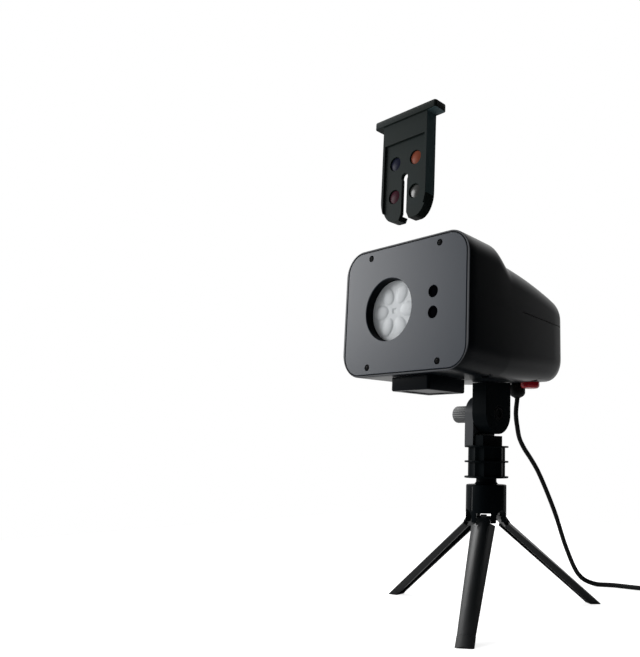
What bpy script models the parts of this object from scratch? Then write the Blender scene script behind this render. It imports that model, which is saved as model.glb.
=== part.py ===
"""Laser and slide projector on a folding tabletop tripod.

Metres, +Z up. The tripod stands on the floor at z = 0 and the lens looks along -Y. Points are worked
out from the tripod's axis, and one empty sets that axis so that the origin is under the middle of
the projector.
"""

import math

import bmesh
import bpy
from mathutils import Matrix, Vector

# Fits
GAP = 0.0003
RUNNING = 0.0004

# Tripod
HUB_RADIUS = 0.0157
HUB_TOP = 0.0929
HUB_BOTTOM = 0.0650
HUB_BORE_RADIUS = 0.0088
HUB_BORE_TOP = 0.0785
WINDOW_WIDTH = 0.0110
WINDOW_TOP = 0.0722
ARCH_WIDTH = 0.0124
ARCH_TOP = 0.0745
LEG_COUNT = 3
FIRST_LEG_DEG = -60.0
PIN_REACH = 0.0126
PIN_Z = 0.0680
PIN_RADIUS = 0.0008
PIN_FIT = 0.00005
PIN_LENGTH = 0.0140
TOE_RISE = 0.0007
LEG_START = 0.0048
FOOT_SPAN = 0.0096
LEG_CROWN = 0.0014
LEG_DEPTH = 0.0064
LEG_TOP_WIDTH = 0.0185
LEG_TOE_WIDTH = 0.0124
LEG_WALL = 0.0018
KNUCKLE_RADIUS = 0.0025
KNUCKLE_WIDTH = 0.0102
TONGUE_WIDTH = 0.0042
TONGUE_RISE = 0.0034
FOOT_LENGTH = 0.0190
REAR_TOE_Y = 0.0873

# Post and tilt joint
COLLAR_RADIUS = 0.0080
STUD_RADIUS = 0.0031
STUD_ENGAGEMENT = 0.0110
STUD_ROOT_RADIUS = 0.0040
POST_BOTTOM = 0.0979
POST_RADIUS = 0.0146
FLUTE_DEPTH = 0.0011
FLUTE_COUNT = 12
FLUTE_STEPS = 5
FLANGE_RADIUS = 0.0172
FLANGE_THICKNESS = 0.0014
FLANGE_LEVELS = (0.0986, 0.1103, 0.1217)
BASE_BLOCK_TOP = 0.1302
BASE_BLOCK_RIGHT = 0.0060
BASE_BLOCK_HALF_DEPTH = 0.0125
PIVOT_Z = 0.1474
EAR_LEFT = -0.0110
EAR_RIGHT = -0.0028
EAR_RADIUS = 0.0140
BOSS_RADIUS = 0.0105
BOSS_LENGTH = 0.0022
LUG_RADIUS = 0.0160
LUG_WIDTH = 0.0142
BOLT_RADIUS = 0.0030
NUT_WIDTH = 0.0100
NUT_THICKNESS = 0.0050
KNOB_RADIUS = 0.0068
KNOB_LENGTH = 0.0158
KNOB_RIDGES = 18
KNOB_RIDGE_DEPTH = 0.0005
BOLT_GRIP = 0.0100

# Head shell
HEAD_RISE = 0.0688
FRONT_Y = -0.0986
BACK_Y = 0.0525
FRONT_HALF_WIDTH = 0.0600
TAPER = 0.0160
TAPER_POWER = 1.2
HOOD_HALF_HEIGHT = 0.0474
HOOD_END_Y = -0.0640
STEP_END_Y = -0.0420
ROOF_AFTER_STEP = 0.0370
ROOF_SLOPE = 0.055
ROOF_CURVE = 0.90
BELLY_START_Y = -0.0450
BELLY_SLOPE = 0.073
ROOF_CORNER = 0.0180
BELLY_CORNER = 0.0190
BACK_ROUNDING = 0.0200
BELLY_ROUNDING = 0.0080
LEAST_CORNER = 0.0010
FRONT_EDGE = 0.0008
SHELL_WALL = 0.0024
PARTING_Z = 0.0020
CORNER_STEPS = 5
HEAD_STATIONS = (
    *(-0.0900, -0.0760, -0.0660, -0.0620, -0.0580, -0.0550, -0.0520, -0.0490, -0.0460),
    *(-0.0430, -0.0380, -0.0280, -0.0140, 0.0000, 0.0140, 0.0260, 0.0325, 0.0380, 0.0430),
    *(0.0470, 0.0490, 0.0505, 0.0517),
)

# Front panel
PANEL_WIDTH = 0.1150
PANEL_BORDER = 0.00175
PANEL_HEIGHT = 2.0 * (HOOD_HALF_HEIGHT - PANEL_BORDER)
PANEL_CORNER = 0.0150
PANEL_THICKNESS = 0.0025
PANEL_LEDGE_Y = -0.0932
LEDGE_WIDTH = 0.0020
LENS_X = -0.0142
APERTURE_RADIUS = 0.0227
COLLAR_WALL = 0.0018
COLLAR_DEPTH = 0.0100
PANEL_SCREW_X = 0.0335
PANEL_SCREW_INSET = 0.00515
PANEL_SCREW_Z = 0.5 * PANEL_HEIGHT - PANEL_SCREW_INSET
SCREW_HEAD_RADIUS = 0.0020
SCREW_HEAD_DEPTH = 0.0012
SCREW_SHANK_RADIUS = 0.0012
SCREW_LENGTH = 0.0070
SCREW_RECESS = 0.0016
BOSS_OUTER_RADIUS = 0.0048
PANEL_BOSS_DEPTH = 0.0066
PANEL_BOSS_RADIUS = 0.0057

# Lens disc and its motor
DISC_RECESS = 0.0066
DISC_THICKNESS = 0.0026
DISC_SKIN = 0.0010
DISC_CLEARANCE = 0.0004
FACET_COUNT = 6
FACET_REACH = 0.0133
FACET_HALF_LENGTH = 0.0066
FACET_HALF_WIDTH = 0.0048
FACET_HEIGHT = 0.0010
LENS_HUB_RADIUS = 0.0042
SHAFT_RADIUS = 0.0012
SHAFT_GRIP = 0.0080
MOTOR_RADIUS = 0.0100
MOTOR_LENGTH = 0.0160

# Slide card
CARD_WIDTH = 0.0460
CARD_DEPTH = 0.0100
CARD_HEIGHT = 0.0800
CARD_LIFT = 0.1040
CARD_GAP = 0.0006
FLANGE_CARD_WIDTH = 0.0640
FLANGE_CARD_DEPTH = 0.0125
FLANGE_CARD_HEIGHT = 0.0060
POCKET_DEPTH = 0.0010
CARD_HEAD_HEIGHT = 0.0170
CARD_RAIL = 0.0022
CARD_FACE_RECESS = 0.0016
CARD_SHOULDER = 0.0185
CARD_TOE_HALF_WIDTH = 0.0105
CARD_SLOT_WIDTH = 0.0054
CARD_SLOT_HEAD_RADIUS = 0.0033
CARD_NOTCH = 0.0050
FILTER_X = 0.0105
FILTER_Z = 0.0133
FILTER_HOLE_RADIUS = 0.0047
FILTER_RADIUS = 0.0052
FILTER_THICKNESS = 0.0012

# Light engine
FRAME_WALL = 0.0025
FRAME_RISE = 0.0400
BOARD_THICKNESS = 0.0016
LED_BOARD_SIZE = 0.0400
LED_RADIUS = 0.0036
LED_LENGTH = 0.0040
SINK_BASE = 0.0030
SINK_FIN_LENGTH = 0.0090
SINK_FINS = 7

# Laser modules
LASER_X = 0.0286
LASER_Z = 0.0072
LASER_WINDOW_RADIUS = 0.0041
LASER_RADIUS = 0.0058
LASER_LENGTH = 0.0300
LASER_WINDOW_RECESS = 0.0005
LASER_WINDOW_THICKNESS = 0.0010
LASER_BRACKET_WALL = 0.0022
LASER_BRACKET_SPAN = (-0.0860, -0.0700)

# Underside pieces
POD_HALF_WIDTH = 0.0180
POD_FRONT_Y = -0.0894
POD_BACK_Y = -0.0494
POD_HEIGHT = 0.0100
POD_WINDOW_INSET = 0.0050
BUTTON_X = 0.0150
BUTTON_Y = 0.0390
BUTTON_RADIUS = 0.0078
BUTTON_PROUD = 0.0049
BUTTON_HEIGHT = 0.0112
BUTTON_TRAVEL = 0.0015
GLAND_Y = 0.0420
GLAND_RADIUS = 0.0068
GLAND_NECK_RADIUS = 0.0046
GLAND_BOTTOM_Z = 0.1629
GLAND_BORE_DEPTH = 0.0040
HOUSING_BOLTS = ((-0.0400, -0.0550), (0.0400, -0.0550), (-0.0315, 0.0260), (0.0315, 0.0200))
HOUSING_BOSS_TOP = -0.0080
HOUSING_SEAT = -0.0160
HOUSING_HEAD_RADIUS = 0.0026
HOUSING_HEAD_DEPTH = 0.0020
HOUSING_SHANK_RADIUS = 0.0013
HOUSING_SCREW_LENGTH = 0.0180
CONTROL_BOARD_Z = -0.0180
CONTROL_BOARD = (-0.0260, 0.0260, -0.0120, 0.0460)

# Cord, from the gland to the coil, and its plug
CORD_RADIUS = 0.0020
CORD_STEP = 0.0100
CORD_ROUTE = (
    (0.0000, 0.0420, 0.1666),
    (0.0000, 0.0420, 0.1620),
    (-0.0010, 0.0415, 0.1500),
    (-0.0025, 0.0460, 0.1380),
    (-0.0050, 0.0530, 0.1290),
    (-0.0050, 0.0610, 0.1200),
    (-0.0040, 0.0680, 0.1130),
    (-0.0020, 0.0800, 0.0980),
    (0.0000, 0.1000, 0.0670),
    (0.0020, 0.1160, 0.0350),
    (0.0060, 0.1300, 0.0110),
    (0.0150, 0.1410, 0.0026),
    (0.0320, 0.1480, 0.0022),
    (0.0560, 0.1500, 0.0026),
    (0.0760, 0.1500, 0.0037),
    (0.0820, 0.1500, 0.0037),
)
COIL_LEAD = 0.0340
COIL_OUTER = 0.0288
COIL_PITCH = 0.0050
COIL_LAYERS = 3
TURNS_PER_LAYER = 2.5
LAYER_PITCH = 0.0048
PLUG_RISE = 0.0068
COIL_TAIL = 0.0060
POINTS_PER_TURN = 24
TIE_WIDTH = 0.0060
TIE_THICKNESS = 0.0008
PLUG_LENGTH = 0.0280
PLUG_WIDTH = 0.0160
PLUG_THICKNESS = 0.0085

# Places that follow from the sizes above
HEAD_Z = PIVOT_Z + HEAD_RISE
BUTTON_BELLY = BELLY_SLOPE * (BUTTON_Y - BELLY_START_Y) - HOOD_HALF_HEIGHT
BUTTON_BOTTOM_Z = HEAD_Z + BUTTON_BELLY - BUTTON_PROUD
BUTTON_FLANGE_Z = BUTTON_BOTTOM_Z + BUTTON_HEIGHT
TOE_REACH = 0.0980
LEG_DROP_DEG = math.degrees(math.atan2(PIN_Z + TOE_RISE, TOE_REACH - PIN_REACH))
LEG_END = math.hypot(PIN_Z + TOE_RISE, TOE_REACH - PIN_REACH) - FOOT_SPAN
HALF_SPAN = 0.5 * (TOE_REACH + FRONT_HALF_WIDTH)
AXIS_X = TOE_REACH - HALF_SPAN
AXIS_Y = 0.5 * (-FRONT_Y - REAR_TOE_Y)
LUG_LEFT = EAR_RIGHT + GAP
LUG_RIGHT = LUG_LEFT + LUG_WIDTH
DISC_FRONT = FRONT_Y + DISC_RECESS
CARD_FRONT = FRONT_Y + COLLAR_DEPTH + RUNNING
CARD_MIDDLE_Y = CARD_FRONT + 0.5 * CARD_DEPTH
CARD_BACK = CARD_FRONT + CARD_DEPTH
SEAT_Z = HEAD_Z + HOOD_HALF_HEIGHT - POCKET_DEPTH + GAP
GUIDE_BACK = CARD_BACK + RUNNING
BOARD_FRONT = GUIDE_BACK + FRAME_WALL + LED_LENGTH
SINK_FRONT = BOARD_FRONT + BOARD_THICKNESS + GAP
MOTOR_FRONT = SINK_FRONT + SINK_BASE + SINK_FIN_LENGTH + GAP


def clear_scene():
    """Removes every object that the scene starts with."""
    for obj in list(bpy.data.objects):
        bpy.data.objects.remove(obj, do_unlink=True)


def material(name, colour, roughness, metallic=0.0):
    """A plain Principled material."""
    mat = bpy.data.materials.new(name)
    mat.use_nodes = True
    shader = mat.node_tree.nodes["Principled BSDF"]
    shader.inputs["Base Color"].default_value = (*colour, 1.0)
    shader.inputs["Roughness"].default_value = roughness
    shader.inputs["Metallic"].default_value = metallic
    return mat


def frame_empty(name, place, parent=None):
    """An empty at a place given from the tripod's axis."""
    empty = bpy.data.objects.new(name, None)
    empty.empty_display_size = 0.01
    bpy.context.collection.objects.link(empty)
    empty["place"] = tuple(place)
    if parent is not None:
        empty.parent = parent
        empty.location = Vector(place) - Vector(parent["place"])
    return empty


def add_piece(name, bm, mat, empty, smooth_deg=40.0):
    """A named object from bm, whose points are given from the tripod's axis, hung on empty."""
    bmesh.ops.recalc_face_normals(bm, faces=bm.faces)
    if bm.calc_volume(signed=True) < 0.0:
        bmesh.ops.reverse_faces(bm, faces=bm.faces)
    mesh = bpy.data.meshes.new(name)
    bm.to_mesh(mesh)
    bm.free()
    mesh.transform(Matrix.Translation(-Vector(empty["place"])))
    mesh.shade_smooth()
    mesh.set_sharp_from_angle(angle=math.radians(smooth_deg))
    mesh.materials.append(mat)
    obj = bpy.data.objects.new(name, mesh)
    bpy.context.collection.objects.link(obj)
    obj.parent = empty
    return obj


def combine(obj, bm, operation):
    """Joins bm to obj, cuts it out of obj, or keeps what they share."""
    label = f"{obj.name}_{operation.lower()}_{len(obj.modifiers)}"
    tool = add_piece(label, bm, obj.data.materials[0], obj.parent)
    tool.hide_render = True
    tool.display_type = "WIRE"
    boolean = obj.modifiers.new(label, "BOOLEAN")
    boolean.operation = operation
    boolean.solver = "EXACT"
    boolean.object = tool


def cut(obj, bm):
    """Cuts the closed form bm out of obj."""
    combine(obj, bm, "DIFFERENCE")


def join(obj, bm):
    """Joins the closed form bm to obj."""
    combine(obj, bm, "UNION")


def arc(centre, radius, start_deg, end_deg, steps):
    """Points along an arc, both ends included."""
    points = []
    for step in range(steps + 1):
        angle = math.radians(start_deg + (end_deg - start_deg) * step / steps)
        points.append((centre[0] + radius * math.cos(angle), centre[1] + radius * math.sin(angle)))
    return points


def rounded_box(width, height, radius, steps=5, centre=(0.0, 0.0)):
    """The outline of a rectangle with round corners."""
    points = []
    across = 0.5 * width - radius
    up = 0.5 * height - radius
    for turn, (side, rise) in enumerate(((1, 1), (-1, 1), (-1, -1), (1, -1))):
        corner = (centre[0] + side * across, centre[1] + rise * up)
        points += arc(corner, radius, 90.0 * turn, 90.0 * turn + 90.0, steps)
    return points


def on_axis(axis, point, height):
    """A point of an outline, and its height along the axis, as a place."""
    if axis == "X":
        return Vector((height, point[0], point[1]))
    if axis == "Y":
        return Vector((point[0], height, point[1]))
    return Vector((point[0], point[1], height))


def prism(outline, low, high, axis="Z"):
    """A closed outline drawn out along an axis from low to high."""
    return loft([[on_axis(axis, point, height) for point in outline] for height in (low, high)])


def loft(rings):
    """A closed form through rings of as many points each, with flat ends."""
    bm = bmesh.new()
    rows = [[bm.verts.new(point) for point in ring] for ring in rings]
    for near, far in zip(rows, rows[1:]):
        for index in range(len(near)):
            after = (index + 1) % len(near)
            bm.faces.new((near[index], near[after], far[after], far[index]))
    bm.faces.new(rows[0])
    bm.faces.new(rows[-1])
    bmesh.ops.recalc_face_normals(bm, faces=bm.faces)
    return bm


def block(low, high):
    """A plain block between two corners, for cuts and small feet."""
    outline = ((low[0], low[1]), (high[0], low[1]), (high[0], high[1]), (low[0], high[1]))
    return prism(outline, low[2], high[2])


def turned(profile, axis="Z", centre=(0.0, 0.0, 0.0), steps=32):
    """A profile of (radius, height) points turned about an axis through centre."""
    bm = bmesh.new()
    verts = [bm.verts.new((radius, 0.0, height)) for radius, height in profile]
    edges = [bm.edges.new(pair) for pair in zip(verts, verts[1:])]
    if profile[0][0] > 0.0:
        edges.append(bm.edges.new((verts[-1], verts[0])))
    bmesh.ops.spin(
        bm,
        geom=verts + edges,
        cent=(0.0, 0.0, 0.0),
        axis=(0.0, 0.0, 1.0),
        angle=math.tau,
        steps=steps,
        use_merge=True,
    )
    bmesh.ops.remove_doubles(bm, verts=bm.verts, dist=1e-6)
    if axis == "X":
        bm.transform(Matrix.Rotation(math.radians(90.0), 4, "Y"))
    elif axis == "Y":
        bm.transform(Matrix.Rotation(math.radians(-90.0), 4, "X"))
    bm.transform(Matrix.Translation(centre))
    bmesh.ops.recalc_face_normals(bm, faces=bm.faces)
    return bm


def rod(radius, low, high, axis="Z", centre=(0.0, 0.0, 0.0), steps=24):
    """A round bar along an axis, from low to high measured from centre."""
    return turned(((0.0, low), (radius, low), (radius, high), (0.0, high)), axis, centre, steps)


def spun(bm, angle_deg):
    """Turns bm about the tripod's axis."""
    bm.transform(Matrix.Rotation(math.radians(angle_deg), 4, "Z"))
    return bm


def leg_angles():
    """The direction of each leg, in degrees."""
    return [FIRST_LEG_DEG + 360.0 / LEG_COUNT * index for index in range(LEG_COUNT)]


def make_hub(stand, plastic):
    """The tripod's hub: a bored cylinder with a window for each leg and an arch between two legs."""
    chamfer = 0.0006
    profile = (
        (STUD_ROOT_RADIUS + GAP, HUB_BORE_TOP),
        (HUB_BORE_RADIUS, HUB_BORE_TOP),
        (HUB_BORE_RADIUS, HUB_BOTTOM),
        (HUB_RADIUS - chamfer, HUB_BOTTOM),
        (HUB_RADIUS, HUB_BOTTOM + chamfer),
        (HUB_RADIUS, HUB_TOP - chamfer),
        (HUB_RADIUS - chamfer, HUB_TOP),
        (STUD_ROOT_RADIUS + GAP, HUB_TOP),
    )
    hub = add_piece("tripod_hub", turned(profile, steps=40), plastic, stand)
    inner = 0.4 * HUB_BORE_RADIUS
    outer = HUB_RADIUS + 0.004
    below = HUB_BOTTOM - 0.004
    for angle in leg_angles():
        window = block((inner, -0.5 * WINDOW_WIDTH, below), (outer, 0.5 * WINDOW_WIDTH, WINDOW_TOP))
        cut(hub, spun(window, angle))
        half = 0.5 * ARCH_WIDTH
        crown = arc((0.0, ARCH_TOP - half), half, 0.0, 180.0, 8)
        arch = prism([(half, below), *crown, (-half, below)], inner, outer, "X")
        cut(hub, spun(arch, angle + 180.0 / LEG_COUNT))
        cut(hub, spun(pin_form(PIN_RADIUS + PIN_FIT, PIN_LENGTH + 2.0 * GAP), angle))


def pin_form(radius, length):
    """A leg's pin, for the leg that points along +X."""
    return rod(radius, -0.5 * length, 0.5 * length, "Y", (PIN_REACH, 0.0, PIN_Z), 16)


def make_stud(stand, metal):
    """The tripod's stud: its root in the hub, a collar, and the threaded end that the post takes."""
    top = POST_BOTTOM + STUD_ENGAGEMENT
    flare = 0.0012
    profile = (
        (0.0, HUB_BORE_TOP + GAP),
        (STUD_ROOT_RADIUS, HUB_BORE_TOP + GAP),
        (STUD_ROOT_RADIUS, HUB_TOP + GAP),
        (COLLAR_RADIUS + flare, HUB_TOP + GAP),
        (COLLAR_RADIUS, HUB_TOP + 2.0 * flare),
        (COLLAR_RADIUS, POST_BOTTOM - GAP),
        (STUD_RADIUS, POST_BOTTOM - GAP),
        (STUD_RADIUS, top - flare),
        (STUD_RADIUS - flare, top),
        (0.0, top),
    )
    add_piece("tripod_stud", turned(profile, steps=20), metal, stand)


def leg_point(along, across, out, angle):
    """A place on an open leg: along it from its pin, across it, and out from its underside."""
    drop = math.radians(LEG_DROP_DEG)
    reach = PIN_REACH + along * math.cos(drop) + out * math.sin(drop)
    height = PIN_Z - along * math.sin(drop) + out * math.cos(drop)
    place = Vector((reach, across, height))
    place.rotate(Matrix.Rotation(math.radians(angle), 3, "Z"))
    return place


def leg_section(half_width):
    """The channel section of a leg as (across, out) points: the outer skin, then the inner one."""
    crown_radius = PIN_REACH + LEG_CROWN
    spread = math.degrees(math.asin(half_width / crown_radius))
    outer = arc((0.0, -PIN_REACH), crown_radius, 90.0 - spread, 90.0 + spread, 8)
    foot = LEG_CROWN - LEG_DEPTH
    outer = [(0.68 * half_width, foot), *outer, (-0.68 * half_width, foot)]
    inner_half = half_width - LEG_WALL
    inner_spread = math.degrees(math.asin(inner_half / (crown_radius - LEG_WALL)))
    inner = arc(
        (0.0, -PIN_REACH), crown_radius - LEG_WALL, 90.0 + inner_spread, 90.0 - inner_spread, 8
    )
    inner = [(-0.68 * half_width + LEG_WALL, foot), *inner, (0.68 * half_width - LEG_WALL, foot)]
    return outer + inner


def leg_shell(angle):
    """The curved channel of a leg, which narrows towards its foot."""
    rings = []
    for along in (LEG_START, 0.25 * LEG_END, 0.5 * LEG_END, 0.75 * LEG_END, LEG_END):
        share = (along - LEG_START) / (LEG_END - LEG_START)
        half = 0.5 * (LEG_TOP_WIDTH + (LEG_TOE_WIDTH - LEG_TOP_WIDTH) * share)
        rings.append([leg_point(along, across, out, angle) for across, out in leg_section(half)])
    return loft(rings)


def leg_plate(outline, half_width, angle):
    """An outline of (along, out) points drawn out across a leg."""
    rings = []
    for across in (-half_width, half_width):
        rings.append([leg_point(along, across, out, angle) for along, out in outline])
    return loft(rings)


def make_leg(index, angle, stand_root, plastic, rubber):
    """One leg with its knuckle and tongue, on an empty at its pin, and its rubber foot."""
    pin_place = leg_point(0.0, 0.0, 0.0, angle)
    empty = frame_empty(f"leg_{index}_axis", pin_place, stand_root)
    leg = add_piece(f"leg_{index}", leg_shell(angle), plastic, empty)
    neck_end = LEG_START + LEG_WALL
    knuckle = arc((0.0, 0.0), KNUCKLE_RADIUS, 95.0, 265.0, 10)
    neck = [*knuckle, (neck_end, -0.6 * LEG_DEPTH), (neck_end, LEG_CROWN - 0.3 * LEG_WALL)]
    join(leg, leg_plate(neck, 0.5 * KNUCKLE_WIDTH, angle))
    drop = math.radians(LEG_DROP_DEG)
    rise = Vector((-math.sin(drop), math.cos(drop)))
    side = Vector((math.cos(drop), math.sin(drop)))
    half = 0.0019
    tongue = [-half * side, half * side, half * side + TONGUE_RISE * rise]
    tongue.append(-half * side + TONGUE_RISE * rise)
    join(leg, leg_plate([tuple(point) for point in tongue], 0.5 * TONGUE_WIDTH, angle))
    cut(leg, spun(pin_form(PIN_RADIUS + GAP, WINDOW_WIDTH), angle))
    foot = add_piece(f"foot_{index}", foot_form(angle), rubber, empty)
    cut(foot, spun(block((0.05, -0.024, -0.04), (0.15, 0.024, 0.0)), angle))
    cut(foot, spun(block((TOE_REACH, -0.02, -0.01), (0.16, 0.02, 0.03)), angle))


def foot_form(angle):
    """The rubber foot: the leg's section carried on to the floor, before its sole is cut."""
    rings = []
    for along in (LEG_END + GAP, LEG_END + FOOT_LENGTH):
        half = 0.5 * LEG_TOE_WIDTH
        crown_radius = PIN_REACH + LEG_CROWN
        spread = math.degrees(math.asin(half / crown_radius))
        section = arc((0.0, -PIN_REACH), crown_radius, 90.0 - spread, 90.0 + spread, 8)
        low = LEG_CROWN - LEG_DEPTH
        section = [(0.68 * half, low), *section, (-0.68 * half, low)]
        rings.append([leg_point(along, across, out, angle) for across, out in section])
    return loft(rings)


def make_post(post, plastic):
    """The fluted post on the stud, with the ear that the head is clamped to."""
    low, middle, high = FLANGE_LEVELS
    half = 0.5 * FLANGE_THICKNESS
    levels = (
        (POST_BOTTOM, False),
        (low + half, False),
        (low + half, True),
        (middle - half, True),
        (middle - half, False),
        (middle + half, False),
        (middle + half, True),
        (high - half, True),
        (high - half, False),
        (high + half, False),
    )
    rings = []
    for height, fluted in levels:
        rings.append([post_point(step, height, fluted) for step in range(FLUTE_COUNT * FLUTE_STEPS)])
    column = add_piece("tilt_post", loft(rings), plastic, post, 30.0)
    foot = high
    base_low = (EAR_LEFT, -BASE_BLOCK_HALF_DEPTH, foot)
    join(column, block(base_low, (BASE_BLOCK_RIGHT, BASE_BLOCK_HALF_DEPTH, BASE_BLOCK_TOP)))
    ear = [(EAR_RADIUS, foot), *arc((0.0, PIVOT_Z), EAR_RADIUS, 0.0, 180.0, 20), (-EAR_RADIUS, foot)]
    join(column, prism(ear, EAR_LEFT, EAR_RIGHT, "X"))
    boss = EAR_LEFT - BOSS_LENGTH
    rim = 0.0006
    rounded = (
        (0.0, boss),
        (BOSS_RADIUS - rim, boss),
        (BOSS_RADIUS, boss + rim),
        (BOSS_RADIUS, EAR_LEFT + rim),
        (0.0, EAR_LEFT + rim),
    )
    join(column, turned(rounded, "X", (0.0, 0.0, PIVOT_Z)))
    bore = BOLT_RADIUS + GAP
    cut(column, rod(bore, boss - rim, EAR_RIGHT + rim, "X", (0.0, 0.0, PIVOT_Z)))
    top = POST_BOTTOM + STUD_ENGAGEMENT + GAP
    cut(column, rod(STUD_RADIUS + GAP, POST_BOTTOM - rim, top))


def post_point(step, height, fluted):
    """A point on the post's side, which has a groove for each flute."""
    angle = math.tau * step / (FLUTE_COUNT * FLUTE_STEPS)
    radius = FLANGE_RADIUS
    if fluted:
        share = math.pi * (step % FLUTE_STEPS) / FLUTE_STEPS
        radius = POST_RADIUS - FLUTE_DEPTH * math.sin(share)
    return Vector((radius * math.cos(angle), radius * math.sin(angle), height))


def make_clamp(clamp, plastic, metal):
    """The knurled knob and the bolt that squeezes the lug against the ear."""
    points = []
    for step in range(4 * KNOB_RIDGES):
        angle = math.tau * step / (4 * KNOB_RIDGES)
        radius = KNOB_RADIUS - (KNOB_RIDGE_DEPTH if step % 4 in (0, 1) else 0.0)
        points.append((radius * math.cos(angle), PIVOT_Z + radius * math.sin(angle)))
    right = EAR_LEFT - BOSS_LENGTH - GAP
    shoulder = right - 0.0017
    knob = add_piece("clamp_knob", prism(points, shoulder - KNOB_LENGTH, shoulder, "X"), plastic, clamp)
    centre = (0.0, 0.0, PIVOT_Z)
    join(knob, rod(0.72 * KNOB_RADIUS, shoulder - 0.001, right, "X", centre))
    end = shoulder - KNOB_LENGTH
    dish = ((0.0, end - 0.001), (0.0048, end - 0.001), (0.0048, end), (0.0040, end + 0.0009))
    cut(knob, turned((*dish, (0.0, end + 0.0009)), "X", centre))
    inside = right - BOLT_GRIP
    cut(knob, rod(BOLT_RADIUS + GAP, inside, right + 0.001, "X", centre))
    bolt = rod(BOLT_RADIUS, inside + GAP, LUG_RIGHT - 2.0 * GAP, "X", centre)
    add_piece("clamp_bolt", bolt, metal, clamp)


def make_lug(head, plastic, metal):
    """The lug under the head, with the captive nut in its far side."""
    outline = arc((0.0, PIVOT_Z), LUG_RADIUS, 180.0, 360.0, 24)
    top = HEAD_Z - HOOD_HALF_HEIGHT + 0.012
    outline = [*outline, (LUG_RADIUS, top), (-LUG_RADIUS, top)]
    lug = add_piece("tilt_lug", prism(outline, LUG_LEFT, LUG_RIGHT, "X"), plastic, head)
    cut(lug, head_form(-GAP))
    centre = (0.0, 0.0, PIVOT_Z)
    cut(lug, rod(BOLT_RADIUS + GAP, LUG_LEFT - 0.001, LUG_RIGHT + 0.001, "X", centre))
    pocket = LUG_RIGHT - NUT_THICKNESS - GAP
    cut(lug, hex_bar(NUT_WIDTH + 2.0 * GAP, pocket, LUG_RIGHT + 0.001))
    nut = add_piece("tilt_nut", hex_bar(NUT_WIDTH, pocket + GAP, LUG_RIGHT), metal, head)
    cut(nut, rod(BOLT_RADIUS + GAP, pocket, LUG_RIGHT + 0.001, "X", centre))


def hex_bar(width, low, high):
    """A hexagonal bar along X about the pivot, by its width across the flats."""
    radius = 0.5 * width / math.cos(math.radians(30.0))
    return prism(arc((0.0, PIVOT_Z), radius, 30.0, 330.0, 5), low, high, "X")


def side_inset(y, radius, start):
    """How far a side has turned in at y, when it turns in over radius from start on."""
    past = min(max(y - start, 0.0), radius)
    return radius - math.sqrt(radius * radius - past * past)


def roof_at(y):
    """Height of the roof over the middle of the head."""
    if y <= HOOD_END_Y:
        return HOOD_HALF_HEIGHT
    if y < STEP_END_Y:
        share = (y - HOOD_END_Y) / (STEP_END_Y - HOOD_END_Y)
        fall = share * share * (3.0 - 2.0 * share)
        return HOOD_HALF_HEIGHT + (ROOF_AFTER_STEP - HOOD_HALF_HEIGHT) * fall
    past = y - STEP_END_Y
    return ROOF_AFTER_STEP - ROOF_SLOPE * past - ROOF_CURVE * past * past


def belly_at(y):
    """Height of the belly over the middle of the head, which is negative."""
    return -HOOD_HALF_HEIGHT + BELLY_SLOPE * max(y - BELLY_START_Y, 0.0)


def head_ring(y, inset):
    """The rounded section of the head at y, drawn in by inset."""
    share = min(max(y - FRONT_Y, 0.0) / (BACK_Y - FRONT_Y), 1.0)
    edge = BACK_Y - inset
    turn = BACK_ROUNDING - inset
    belly_turn = BELLY_ROUNDING - inset
    side = inset + side_inset(y, turn, edge - turn)
    below = inset + side_inset(y, belly_turn, edge - belly_turn)
    half = FRONT_HALF_WIDTH - TAPER * share**TAPER_POWER - side
    roof = roof_at(y) - side
    belly = belly_at(y) + below
    top = max(ROOF_CORNER - side, LEAST_CORNER)
    bottom = max(BELLY_CORNER - side, LEAST_CORNER)
    steps = CORNER_STEPS
    points = arc((half - top, roof - top), top, 0.0, 90.0, steps)
    points += arc((top - half, roof - top), top, 90.0, 180.0, steps)
    points += arc((bottom - half, belly + bottom), bottom, 180.0, 270.0, steps)
    points += arc((half - bottom, belly + bottom), bottom, 270.0, 360.0, steps)
    return [Vector((x, y, HEAD_Z + z)) for x, z in points]


def head_form(inset):
    """The head's outer form, drawn in or out by inset and closed at both ends."""
    front = FRONT_Y + inset
    stations = [y for y in HEAD_STATIONS if y > front + FRONT_EDGE and y < BACK_Y - inset]
    turned_in = max(inset, 0.0) + FRONT_EDGE if inset <= 0.0 else inset
    rings = [head_ring(front, inset + turned_in), head_ring(front + FRONT_EDGE, inset)]
    rings += [head_ring(y, inset) for y in stations]
    rings.append(head_ring(BACK_Y - inset, inset))
    return loft(rings)


def head_cavity():
    """The room inside the shell: narrow behind the panel, so that the panel has a ledge."""
    ledge = PANEL_LEDGE_Y
    rings = [head_ring(FRONT_Y - 0.001, SHELL_WALL + LEDGE_WIDTH), head_ring(ledge, SHELL_WALL + LEDGE_WIDTH)]
    rings.append(head_ring(ledge + 0.001, SHELL_WALL))
    back = BACK_Y - SHELL_WALL
    rings += [head_ring(y, SHELL_WALL) for y in HEAD_STATIONS[::2] if ledge + 0.001 < y < back - 0.001]
    rings.append(head_ring(back, SHELL_WALL))
    return loft(rings)


def head_point(outline):
    """Outline points given from the middle of the head, moved up to it."""
    return [(x, HEAD_Z + z) for x, z in outline]


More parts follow.
